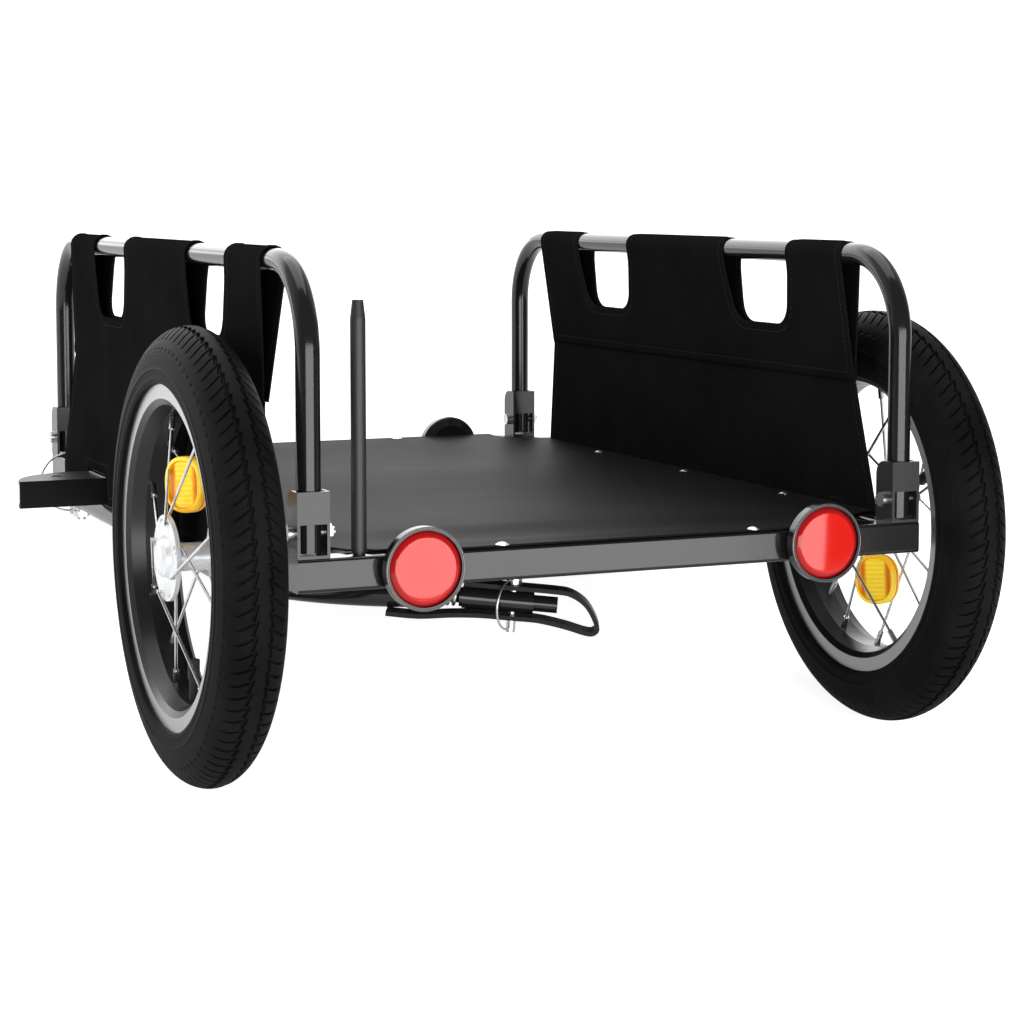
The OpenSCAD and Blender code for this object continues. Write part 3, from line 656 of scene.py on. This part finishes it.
# %% Tread pattern
LUGS = 96  # cross-grooves on each side
GROOVE = 1.9  # depth of the tread
ACROSS = np.array([0, 1.8, 3.1, 3.9, 4.6, 6.0, 6.7, 8.2, 10, 12, 14, 16, 18, 20, 21.6, 23.2,
                   24.6, 25.6, 26.8, 28, 29, 31, 34, 37, 39.5, 40.6, 41.7, 43, 45, 46.4,
                   47.2, 48.2, 50.2])
ALONG = np.array([-0.12, -0.07, 0.07, 0.12, 0.22, 0.34, 0.46, 0.58, 0.70, 0.80])
GROOVE_STARTS = (6.0, 8.2)  # every other cross-groove starts nearer the rib
RAISED_RINGS = ((0.5, 40.6, 0.6), (0.6, 47.2, 0.7))  # height, place and width, on the wall


def tread_sunk(a, number, part):
    """How deep the tyre is sunk, a from the middle line, at a part of a lug.

    The deeper of cross-groove and rib groove, a dimple on each shoulder block, and a shallow
    band round the wall, less two rings that stand out of it."""
    start = np.where(np.floor(number) % 2 == 0, *GROOVE_STARTS)
    cross = 1 - step(np.abs(part), 0.07, 0.12)
    deep = cross * step(a, start - 0.8, start) * (1 - step(a, 15, 21) * 0.999)
    rib = step(a, 3.85, 4.55) * (1 - step(a, 6.05, 6.75))
    dimple = bell(a, 27, 0.9) * step(part, 0.3, 0.36) * (1 - step(part, 0.6, 0.72))
    sunk = GROOVE * np.maximum(deep, rib) + 0.7 * dimple
    sunk -= sum(tall * bell(a, at, width) for tall, at, width in RAISED_RINGS)
    sunk += 0.35 * step(a, 29, 31) * (1 - step(a, 47.4, 48.2))
    return sunk


print("tread:", LUGS, "lugs a side")

# %% [markdown]
# A tyre is a section carried round a circle. The trick is to let the grid follow the
# grooves: its rows lean over where the cross-grooves hook, and its columns wander where the
# groove beside the middle rib zigzags. Then a groove's walls lie exactly between two lines
# of the grid, and stay crisp with few faces.

# %% Tyres
TYRE_DEEP = 29.5  # from the crown down to the widest place of the section
SECTION_END = math.radians(107)
BEAD_X, BEAD_R = 16.6, 108.0


def section_angle(run, half):
    """The angle on the oval section at which its arc, from the crown, is run long."""
    angle = np.linspace(0, SECTION_END, 400)
    pieces = np.hypot(np.diff(half * np.sin(angle)), np.diff(TYRE_DEEP * np.cos(angle)))
    return np.interp(run, np.concatenate([[0], np.cumsum(pieces)]), angle)


def tyre(side):
    """The point at angle t of the oval, sunk along the oval's normal, turned by its arc."""
    name = SIDES[side]
    low, high = level_box("tyre_" + name)
    half, radius = (high[0] - low[0]) / 2, (high[2] - low[2]) / 2
    w, row = np.meshgrid(np.concatenate([-ACROSS[:0:-1], ACROSS]),
                         np.arange(LUGS * len(ALONG)), indexing="ij")
    a, pitch = np.abs(w), 2 * math.pi * radius / LUGS
    number = row // len(ALONG) + np.where(w > 0, 0.5, 0)
    part = ALONG[row % len(ALONG)]
    hook = 6.5 * np.sin(np.clip((a - 6) / 16, 0, 1) * 1.9)
    along = (number + part) * pitch + hook
    # the groove beside the rib runs slanting along each lug and steps back at the next
    saw = (part + 0.12) % 1 * 2 - 1
    shift = 1.7 * saw * bell(a, 5.3, 2.6)
    t = section_angle(a + shift, half) * np.sign(w)
    sunk = tread_sunk(a, number, part)
    nx, nr = np.sin(t) / half, np.cos(t) / TYRE_DEEP
    size = np.hypot(nx, nr)
    x = half * np.sin(t) - sunk * nx / size
    r = radius - TYRE_DEEP + TYRE_DEEP * np.cos(t) - sunk * nr / size
    # the beads close the section inside the rim
    seat = r[-1].mean() - 1.5
    for bx, br in ((BEAD_X, seat), (BEAD_X, BEAD_R), (-BEAD_X, BEAD_R), (-BEAD_X, seat)):
        x, r = np.vstack([x, 0 * x[:1] + bx]), np.vstack([r, 0 * r[:1] + br])
        along = np.vstack([along, row[:1] / len(ALONG) * pitch])
    turn = along / radius
    points = np.stack([side * WHEEL_X + x, r * np.cos(turn), AXLE_Z + r * np.sin(turn)], -1)
    return fit(surface("tread_" + name, points, closed=(True, True), solid=True, sharp=32),
               tyre_rubber[side], "wheel_" + name, ["tyre_" + name])


tyres = [tyre(s) for s in SIDES]
print("tyres:", [triangles(t) for t in tyres])

# %% [markdown]
# Cloth is cut flat and then bent into place, so that is how it is made here. First a fine
# grid of the flat sheet is trimmed to an outline: points near the line are pulled onto it,
# and what lies outside is dropped. A cell that loses one corner is left as a triangle.

# %% Trimming a flat sheet
def from_outline(q, outline):
    """Signed distance (inside negative) and nearest point of a closed outline, for points q."""
    a = np.asarray(outline, float)
    b = np.roll(a, -1, 0)
    d = b - a
    rel = q[:, None] - a
    t = np.clip((rel * d).sum(-1) / np.maximum((d * d).sum(-1), 1e-9), 0, 1)
    near = a + t[..., None] * d
    gap = ((q[:, None] - near) ** 2).sum(-1)
    k = gap.argmin(1)
    y0, y1 = a[:, 1], b[:, 1]
    crosses = (y0 > q[:, None, 1]) != (y1 > q[:, None, 1])
    at = a[:, 0] + (q[:, None, 1] - y0) * d[:, 0] / np.where(d[:, 1] == 0, 1e-9, d[:, 1])
    inside = (crosses & (q[:, None, 0] < at)).sum(1) % 2 == 1
    n = np.arange(len(q))
    return np.where(inside, -1, 1) * np.sqrt(gap[n, k]), near[n, k]


def trimmed(outer, holes, grid):
    """Flat points, their distance in from the cut edge, and the faces in arrays by kind."""
    low, high = outer.min(0), outer.max(0)
    count = np.ceil((high - low) / grid).astype(int) + 1
    u, v = np.meshgrid(*[np.linspace(low[k], high[k], count[k]) for k in (0, 1)], indexing="ij")
    q = np.stack([u.ravel(), v.ravel()], -1)
    dist, near = from_outline(q, outer)
    for hole in holes:
        d, n = from_outline(q, hole)
        closer = -d > dist
        dist, near = np.where(closer, -d, dist), np.where(closer[:, None], n, near)
    snap = np.abs(dist) < 0.5 * grid
    q = np.where(snap[:, None], near, q)
    dist = np.where(snap, 0, dist)
    quads = grid_faces(*count)
    good = dist[quads] <= 0
    loose = (dist[quads] < 0).any(1)
    groups = [quads[good.all(1) & loose]]
    for missing in range(4):
        three = (good.sum(1) == 3) & ~good[:, missing] & loose
        groups.append(np.delete(quads[three], missing, axis=1))
    kept = np.unique(np.concatenate([g.ravel() for g in groups]))
    return q[kept], -dist[kept], [np.searchsorted(kept, g) for g in groups]


def flat_area(q, groups):
    """Area of flat faces, by the shoelace rule."""
    corners = [q[g] for g in groups]
    return sum(0.5 * np.abs((c[..., 0] * np.roll(c[..., 1], -1, 1)
                             - c[..., 1] * np.roll(c[..., 0], -1, 1)).sum(1)).sum() for c in corners)


def rounded(points, radii, n=7):
    """A closed outline whose corners are rounded, each by its own radius."""
    p = np.asarray(points, float)
    out = []
    for k, r in enumerate(radii):
        a, b, c = p[k - 1], p[k], p[(k + 1) % len(p)]
        u, w = (a - b) / np.linalg.norm(a - b), (c - b) / np.linalg.norm(c - b)
        half = math.acos(np.clip(u @ w, -1, 1)) / 2
        centre = b + (u + w) / np.linalg.norm(u + w) * r / math.sin(half)
        s, e = b + u * r / math.tan(half) - centre, b + w * r / math.tan(half) - centre
        whole = math.atan2(s[0] * e[1] - s[1] * e[0], s @ e)
        for t in np.linspace(0, whole, n):
            co, si = math.cos(t), math.sin(t)
            out.append(centre + (s[0] * co - s[1] * si, s[0] * si + s[1] * co))
    return np.array(out)


def disc(x, y, r, n=40):
    """A circle as a closed outline."""
    t = np.linspace(0, 2 * math.pi, n, endpoint=False)
    return np.stack([x + r * np.cos(t), y + r * np.sin(t)], -1)


print("cutter ready")

# %% [markdown]
# Only then does a function bend the sheet. Each point has kept its distance from the cut
# edge, from which come the thick folded hems. A modifier gives the sheet its thickness, since
# cloth is equally thick all over.

# %% Bending a sheet
HEM_SLOPE = (1.2, 0.6)  # a hem thins out from this far before its width to this far past it


def cut_sheet(name, outer, holes, place, grid=3.0, hem=9.0, hem_rise=0.5, thick=1.1, swell=None):
    """A sheet: flat outline minus holes, bent by place(u, v), with hems along every edge.

    Returns the object, and the area and size of the flat cut, in metres."""
    outer = np.asarray(outer, float)
    q, inner, groups = trimmed(outer, holes, grid)
    u, v = q.T
    e = 0.5
    du = place(u + e, v) - place(u - e, v)
    dv = place(u, v + e) - place(u, v - e)
    normal = np.cross(du, dv)
    normal /= np.linalg.norm(normal, axis=1)[:, None]
    rise = hem_rise * (1 - step(inner, hem - HEM_SLOPE[0], hem + HEM_SLOPE[1]))
    if swell is not None:
        rise = rise + swell(u, v, inner)
    o = mesh(name, place(u, v) + normal * rise[:, None], [f for g in groups for f in g.tolist()],
             attributes={"edge": inner / 1000}, uv=q / 1000)
    shell = o.modifiers.new("thickness", "SOLIDIFY")
    shell.thickness, shell.offset = thick / 1000, 0
    return o, flat_area(q, groups) * 1e-6, (outer.max(0) - outer.min(0)) / 1000


print("sheets ready")

# %% [markdown]
# A side panel goes up inside the rail, over it, and down outside to the foot of the frame.
# The two layers are sewn together a hand's width below the rail, and two hand holes are cut
# through both, so the rail shows bare between three loops. Flat, the panel is one sheet, so
# it is bent round one section: u runs along the rail, and v up, over and down again.

# %% Panel section
RAIL_LOW, RAIL_HIGH = level_box("rail_right")
RAIL_X = (RAIL_LOW[0] + RAIL_HIGH[0]) / 2
RAIL_R = (RAIL_HIGH[0] - RAIL_LOW[0]) / 2
RAIL_Z = RAIL_HIGH[2] - RAIL_R
FRAME_LOW, FRAME_HIGH = level_box("side_tube_right")
FRAME_W = 22.0
SEAM_DROP = 94.0
RAIL_H = RAIL_Z - FRAME_HIGH[2]
OUT = FRAME_HIGH[0] - RAIL_X + 0.3  # from the rail's middle out to the frame's face
LOOP_R = RAIL_R + 1.0
LOOP_STEPS = 15
LEAN = math.radians(8)

loop_turn = np.linspace(math.pi + LEAN, -LEAN, LOOP_STEPS)
SECTION = np.concatenate([
    [(OUT * 0.5 - 0.9, -SEAM_DROP)],
    np.stack([LOOP_R * np.cos(loop_turn), LOOP_R * np.sin(loop_turn)], -1),
    [(OUT * 0.5 + 0.8, -SEAM_DROP), (OUT + 0.8, -RAIL_H), (OUT + 0.8, -RAIL_H - FRAME_W)],
])
SECTION_V = np.concatenate([[0], np.cumsum(np.hypot(*np.diff(SECTION, axis=0).T))])
TOP_V = (SECTION_V[1] + SECTION_V[LOOP_STEPS]) / 2
SEAM_V, FRAME_V, FOOT_V = SECTION_V[-3:]
print("panel section:", round(FOOT_V, 1), "mm long")

# %% [markdown]
# The cut flares out where it meets the frame. It has the hand holes, a hole for the stub
# axle and, on the left, a notch for the towing socket. Soft folds hang below the loops, for
# hanging cloth is never flat.

# %% Side panels
PANEL_LOW, PANEL_HIGH = level_box("side_panel_right")
PANEL_Y = (PANEL_LOW[1] + PANEL_HIGH[1]) / 2
PANEL_FLARE = 22.0
PANEL_HALF = (PANEL_HIGH[1] - PANEL_LOW[1]) / 2 - PANEL_FLARE
HAND_AT = 137.0  # from the panel's middle to the middle of a hand hole
HAND_WIDEST = (50.0, 30.0)  # half the hole's width, and how far that is from the rail's top
HAND_END = (40.0, 71.0)
HAND_ROUND = [40, 20, 20, 40] * 2
STUB_HOLE_R = 9.4
SOCKET_ROOM, SOCKET_PAST = 3.0, 9.0


def panel_place(side):
    def place(u, v):
        """u runs along the rail, v up over it: the section's own point at that length."""
        a = np.interp(v, SECTION_V, SECTION[:, 0])
        z = np.interp(v, SECTION_V, SECTION[:, 1])
        return np.stack([side * (RAIL_X + a), u, RAIL_Z + z], -1)
    return place


def panel_swell(side):
    def swell(u, v, inner):
        """Soft folds below the loops, a ridge where the layers are sewn, and stitched dips.

        Folds are long sines times longer ones; ridge and dips are bells across a line."""
        y = u - PANEL_Y
        down = np.clip((v - TOP_V) / 120, 0, 1)
        folds = 0.5 * np.sin(y / 19 + 1.5 * side) * np.sin(y / 47) * np.sin(down * 3)
        ridge = 0.55 * bell(v, SEAM_V - 5, 4.5) - 0.4 * bell(v, SEAM_V, 1.2)
        return -side * (folds + ridge) - 0.25 * bell(inner, 7.6, 0.7)
    return swell


def hand_hole(y):
    """Outline of a hand hole about y: widest below the loop, narrower where it ends."""
    (wide, near), (narrow, far) = HAND_WIDEST, HAND_END
    corners = [(-wide, -near), (-narrow, -far), (narrow, -far), (wide, -near)]
    corners += [(-a, -b) for a, b in corners]
    return rounded(np.array(corners) + (y, TOP_V), HAND_ROUND)


def panel(side):
    name = SIDES[side]
    a, b = PANEL_HALF, PANEL_HALF + PANEL_FLARE
    outer = np.array([(-a, 0), (a, 0), (a, SEAM_V), (b, FRAME_V), (b, FOOT_V), (-b, FOOT_V),
                      (-b, FRAME_V), (-a, SEAM_V)]) + (PANEL_Y, 0)
    holes = [hand_hole(PANEL_Y + s * HAND_AT) for s in (-1, 1)]
    holes.append(disc(0, FRAME_V + FRAME_W / 2, STUB_HOLE_R))
    if side < 0:
        low, high = level_box("towing_socket")
        y0, y1 = low[1] - SOCKET_ROOM, high[1] + SOCKET_ROOM
        v0, v1 = FRAME_V - SOCKET_ROOM, FOOT_V + SOCKET_PAST
        holes.append([(y0, v0), (y1, v0), (y1, v1), (y0, v1)])
    o, area, flat = cut_sheet("panel_" + name, outer, holes, panel_place(side),
                              swell=panel_swell(side))
    fit(o, side_cloth, "trailer", ["side_panel_" + name])
    return area, flat


panels = [panel(s) for s in SIDES]
print("panels:", [(round(a, 4), [round(float(x), 3) for x in f]) for a, f in panels])

# %% [markdown]
# The load bed is one sheet drawn tight over the bars and fixed along its edges. It still
# sags a little between the bars, and it is cut away round each post, the flag rod and the
# drawbar's bolt. The sag is a sine from bar to bar, which fades out at the side tubes.

# %% Load bed
BED_LOW, BED_HIGH = level_box("bed_sheet")
REAR_LOW, FRONT_HIGH = level_box("rear_bar")[0], level_box("front_bar")[1]
BAR_NODES = ["rear_bar", "axle_beam", "mid_bar", "front_bar"]
BARS = [level_box(n) for n in BAR_NODES]
BED_SAG = 2.6
POST_R, POST_IN = 40.0, 15.0  # the round cut at a post, and how far in its middle is
NOTCH_W, NOTCH_L, BEYOND = 75.0, 13.0, 5.0  # the square notch in each rear corner
ROD_HOLE_R, BOLT_HOLE_R = 10.0, 8.3


def bed_place(u, v):
    """Flat, with a shallow sag between one bar and the next, and none at the side tubes."""
    sag = np.zeros_like(u)
    for (_, near), (far, _) in zip(BARS[:-1], BARS[1:]):
        t = np.clip((v - near[1]) / (far[1] - near[1]), 0, 1)
        across = np.clip(1 - np.abs(u) / (FRAME_LOW[0] - 2), 0, 1)
        sag = sag + BED_SAG * np.sin(math.pi * t) ** 1.5 * (1 - (1 - across) ** 3)
    return np.stack([u, v, BED_LOW[2] + 0.75 - sag], -1)


w, rear, front = BED_HIGH[0], BED_LOW[1], BED_HIGH[1]
bed_outer = [(-w, rear), (w, rear), (w, front), (-w, front)]
bed_holes = [disc(s * w, y, POST_R, 60) for s in SIDES for y in (rear + POST_IN, front - POST_IN)]
notch = np.array([(w + BEYOND, rear - BEYOND), (w - NOTCH_W, rear - BEYOND),
                  (w - NOTCH_W, rear + NOTCH_L), (w + BEYOND, rear + NOTCH_L)])
bed_holes += [notch * (s, 1) for s in SIDES]
bed_holes.append(disc(*middle("flag_rod")[:2], ROD_HOLE_R))
bed_holes.append(disc(*middle("drawbar_bolt")[:2], BOLT_HOLE_R))
bed, bed_area, bed_flat = cut_sheet("bed_cover", bed_outer, bed_holes, bed_place, grid=4.0,
                                    hem=8.0, hem_rise=0.35, thick=1.0)
fit(bed, bed_cloth, "trailer", ["bed_sheet"])
print("bed:", round(bed_area, 4), "square metres")

# %% [markdown]
# A round reflector is a black cup with a clear coloured lens. The lens is almost flat in the
# middle and falls away in a steep ring near its edge, so it looks like a pale disc with a dark
# border; that border is painted shade, marked on the mesh. A thin bright ring lies on the
# cup's lip. Both are turned shapes, so a section carried round an axis makes them.

# %% Round reflectors
GLASS_R, FLAT_R = 24.7, 20.3  # the lens, and its almost flat middle
LIP_R, LIP_OUT = 26.7, 11.9  # the bright ring on the cup's lip
LENS_UP = 2.0  # above the axle's height


def revolve(name, profile, centre, axis, turns=96, attributes=None, **rest):
    """Carries a profile of (along, radius) round an axis ('y' or 'z') through centre."""
    profile = np.asarray(profile, float)
    t = np.linspace(0, 2 * math.pi, turns, endpoint=False)
    along = np.repeat(profile[:, :1], turns, 1)
    a, b = profile[:, 1:] * np.cos(t), profile[:, 1:] * np.sin(t)
    order = {"y": (b, along, a), "z": (a, b, along)}[axis]
    spread = {key: np.repeat(np.asarray(values, float)[:, None], turns, 1)
              for key, values in (attributes or {}).items()}
    return surface(name, np.stack(order, -1) + np.asarray(centre, float),
                   closed=(False, True), solid=True, attributes=spread, **rest)


def lens(name, x, face, way, finish, node):
    """A lens and its lip ring, in front of face; way is -1 to the rear, 1 to the front.

    The dome falls with the square of the distance from its middle, and the ring is a circle
    carried round a larger one."""
    dome = np.linspace(FLAT_R, 0, 16)
    profile = [(5.2, 0), (5.2, GLASS_R), (10.4, GLASS_R), (11.1, GLASS_R - 0.5), (12.5, 21.6),
               (12.9, 20.9)]
    # deep marks painted shade: the lens's side and its steep ring are painted dark
    deep = [0, 1, 1, 0.9, 0.7, 0.3] + [0.0] * len(dome)
    profile += [(12.95 + 0.45 * (1 - (d / FLAT_R) ** 2), d) for d in dome]
    centre = (x, face, AXLE_Z + LENS_UP)
    glass = revolve(name, [(way * a, b) for a, b in profile], centre, "y", sharp=40,
                    attributes={"deep": deep})
    fit(glass, finish, "trailer", [node])
    bead = np.linspace(0, 2 * math.pi, 12, endpoint=False)
    ring = [(way * (LIP_OUT + 0.45 * math.cos(t)), LIP_R + 0.4 * math.sin(t)) for t in bead]
    fit(revolve(name + "_rim", ring + ring[:1], centre, "y"), lip_steel)


for kind, way, face, slot, finish in (("rear", -1, REAR_LOW[1], "red_lens", red_lens),
                                      ("front", 1, FRONT_HIGH[1], "clear_lens", clear_lens)):
    low, high = level_box(kind + "_reflector_shells")
    x = high[0] - (high[2] - low[2]) / 2
    for s, n in SIDES.items():
        lens(f"{kind}_lens_{n}", s * x, face, way, finish, f"{kind}_reflector_lenses")
print("lenses at", round(x, 1), "mm from the middle")

# %% [markdown]
# A spoke reflector is two amber lenses back to back. Each is a full oval with a thick round
# rim, a sunk window of ribbed prisms, and a deep groove where the halves meet. The oval is
# drawn smaller and smaller, ring by ring, from the groove over the rim into the window. A
# bump on a plain oval would stay flat from the side, and it is the folds that catch the
# light. The left one stands a little further out than its simple solid.

# %% Spoke reflectors
LENS_W, LENS_L, LENS_T, LENS_TURN = 34.0, 38.0, 10.4, math.radians(30)
TOP = LENS_T / 2
WINDOW_IN = 3.5  # the window begins this far in from the outline
LEFT_OUT = 3.0

# one half, from the window's middle to the groove: (inset from the outline, height)
half_rings = [(d, TOP - 2.2) for d in np.linspace(16.6, 3.6, 26)]
half_rings += [(3.3, TOP - 1.9), (3.1, TOP - 0.4), (2.7, TOP), (1.7, TOP), (1.0, TOP - 0.3),
               (0.4, TOP - 1.1), (0.0, TOP - 2.2), (0.0, 1.1), (0.2, 0.6), (1.3, 0.45)]
RINGS = np.array(half_rings + [(d, -h) for d, h in half_rings[::-1]])


def oval(inset):
    """Rings of one oval, |cos|^0.8 by |sin|^0.8, a little squarer than an ellipse."""
    t = np.linspace(0, 2 * math.pi, 144, endpoint=False)
    c, s = np.cos(t), np.sin(t)
    return ((LENS_W / 2 - inset) * np.sign(c) * np.abs(c) ** 0.8,
            (LENS_L / 2 - inset) * np.sign(s) * np.abs(s) ** 0.8)


def prisms(inset, height, w, l):
    """Height above the middle plane, and the painted shade where the plastic is deep and the painted
    glow where it is thin, from 0 to 1.

    Ribs, a sine along the oval, cross the window's middle, and two sunk lanes run along its
    sides."""
    window = inset > WINDOW_IN
    lane = np.clip(1.3 * (1 - np.abs(np.abs(w) - 10.8) / 3.0), 0, 1) * window
    band = (0.5 + 0.5 * np.sin(2 * math.pi * l / 3.3)) * (np.abs(w) < 7.6) * window
    # painted glow: paler on the ribs in the window, and on the rim towards its end away from the hub
    rim_painted_glow = 0.45 + 0.45 * np.clip(l / 14, -0.6, 1)
    painted_glow = np.where(window, (0.45 + 0.45 * band) * (np.abs(w) < 7.8), rim_painted_glow)
    painted_glow = painted_glow * (np.abs(height) > TOP - 2.6)
    # painted shade: dark in the lanes, on the step down into the window, and in the groove where the
    # halves meet
    deep = 0.95 * lane + 0.8 * ((inset > 3.0) & ~window) + (np.abs(height) < 1.0) * 0.9
    raised = height + np.sign(height) * (0.7 * band - 0.3 * lane)
    return raised, np.clip(deep, 0, 1), np.clip(painted_glow, 0, 1)


def spoke_reflector(side):
    """Rings laid out on three axes: up from the hub, across, and square to the lens."""
    name = SIDES[side]
    centre = middle("wheel_reflector_" + name) - (LEFT_OUT if side < 0 else 0, 0, 0)
    up = (centre - (centre[0], 0, AXLE_Z)) / np.linalg.norm(centre[1:] - (0, AXLE_Z))
    tangent = np.cross(up, (1, 0, 0))
    tangent *= np.sign(tangent[1])
    normal = np.cos(LENS_TURN) * np.array([1.0, 0, 0]) + np.sin(LENS_TURN) * tangent
    across = np.cross(up, normal)
    inset, height = RINGS.T[:, :, None]
    w, l = oval(inset)
    h, deep, painted_glow = prisms(inset, height, w, l)
    points = centre + h[..., None] * normal + w[..., None] * across + l[..., None] * up
    o = surface("spoke_reflector_" + name, points, closed=(False, True), solid=True,
                attributes={"deep": deep, "painted_glow": painted_glow})
    cap_ends(o)
    return fit(o, amber_plastic, "wheel_" + name, ["wheel_reflector_" + name])


amber = [spoke_reflector(s) for s in SIDES]
print("spoke reflectors:", [triangles(o) for o in amber])

# %% [markdown]
# The coupling is held by a coil spring, a round wire carried along a helix, where the frame
# model has plain rings. A screw modifier could wind it too, but a path by formula lets its
# coils lie closer at both ends: the rise is mostly even, and partly a smooth step. A black
# core fills it.

# %% Coupling spring
SPRING_L, SPRING_R, WIRE_R, COILS = 30.0, 5.5, 1.2, 6.5
CORE_R = 4.2


def coupling_axes():
    """Root and direction of the coupling, from the sleeve's own points (level millimetres)."""
    p = level_points("coupling_sleeve")
    mid = p.mean(0)
    way = np.linalg.svd(p - mid, full_matrices=False)[2][0]
    way = way * np.sign(way[0])
    run = (p - mid) @ way
    return mid + way * run.min(), way


def tube(name, path, radius, sides=12, **rest):
    """A round tube carried along a path of points, with its frame turned as little as may be."""
    path = np.asarray(path, float)
    way = np.gradient(path, axis=0)
    way /= np.linalg.norm(way, axis=1)[:, None]
    start = np.cross(way[0], (0.3, 0.2, 0.93))
    across = [start / np.linalg.norm(start)]
    for d in way[1:]:
        a = across[-1] - d * (across[-1] @ d)
        across.append(a / np.linalg.norm(a))
    across = np.array(across)
    other = np.cross(way, across)
    t = np.linspace(0, 2 * math.pi, sides, endpoint=False)[:, None]
    points = path[:, None] + radius * (across[:, None] * np.cos(t) + other[:, None] * np.sin(t))
    o = surface(name, points, closed=(False, True), **rest)
    cap_ends(o)
    return o


root, way = coupling_axes()
side_way = np.cross(way, (0, 0, 1))
side_way /= np.linalg.norm(side_way)
up_way = np.cross(side_way, way)
t = np.linspace(0, 1, 320)[:, None]
room = SPRING_L - 2 * WIRE_R
rise = WIRE_R + room * step(t, 0, 1) * 0.35 + room * t * 0.65
angle = 2 * math.pi * COILS * t
coil = (root - way * (SPRING_L - rise)
        + SPRING_R * (np.cos(angle) * side_way + np.sin(angle) * up_way))
spring = tube("coil_spring", coil, WIRE_R)
core = tube("spring_core", [root - way * SPRING_L, root], CORE_R, sides=32, sharp=40)
fit(core, gloss_black)
fit(spring, bright_steel, "trailer", ["coupling_spring"])
print("spring:", triangles(spring), "triangles")

# %% [markdown]
# The bed is held down by small domed rivets: three on each side tube, two on the rear bar
# and two on the front bar. Each is a low dome on a thin round foot. Half a ball would stand
# too tall, so a short profile is turned instead.

# %% Rivets
RIVET_R, RIVET_TALL, RIVET_FOOT = 4.6, 1.9, 0.35
RIVET_X = FRAME_HIGH[0] - 13
RIVET_Z = BED_LOW[2] + 1.55
RIVET_SPOTS = [(s * RIVET_X, y) for s in SIDES for y in (54, 219, 384)]
RIVET_SPOTS += [(-89, REAR_LOW[1] + 3), (99, REAR_LOW[1] + 3)]
RIVET_SPOTS += [(-94, FRONT_HIGH[1] - 11), (94, FRONT_HIGH[1] - 11)]


def rivet(name, x, y):
    """A dome: its height falls with a power of the distance from the middle."""
    profile = [(0, 0), (0, RIVET_R), (RIVET_FOOT, RIVET_R)]
    profile += [(RIVET_FOOT + (RIVET_TALL - RIVET_FOOT) * (1 - v ** 2.4), RIVET_R * v * 0.97)
                for v in np.linspace(1, 0, 9)]
    dome = revolve(name, profile, (x, y, RIVET_Z), "z", turns=28, sharp=50)
    return fit(dome, bright_steel)


for k, (x, y) in enumerate(RIVET_SPOTS):
    rivet(f"rivet_{k + 1}", x, y)
print("rivets:", len(RIVET_SPOTS))
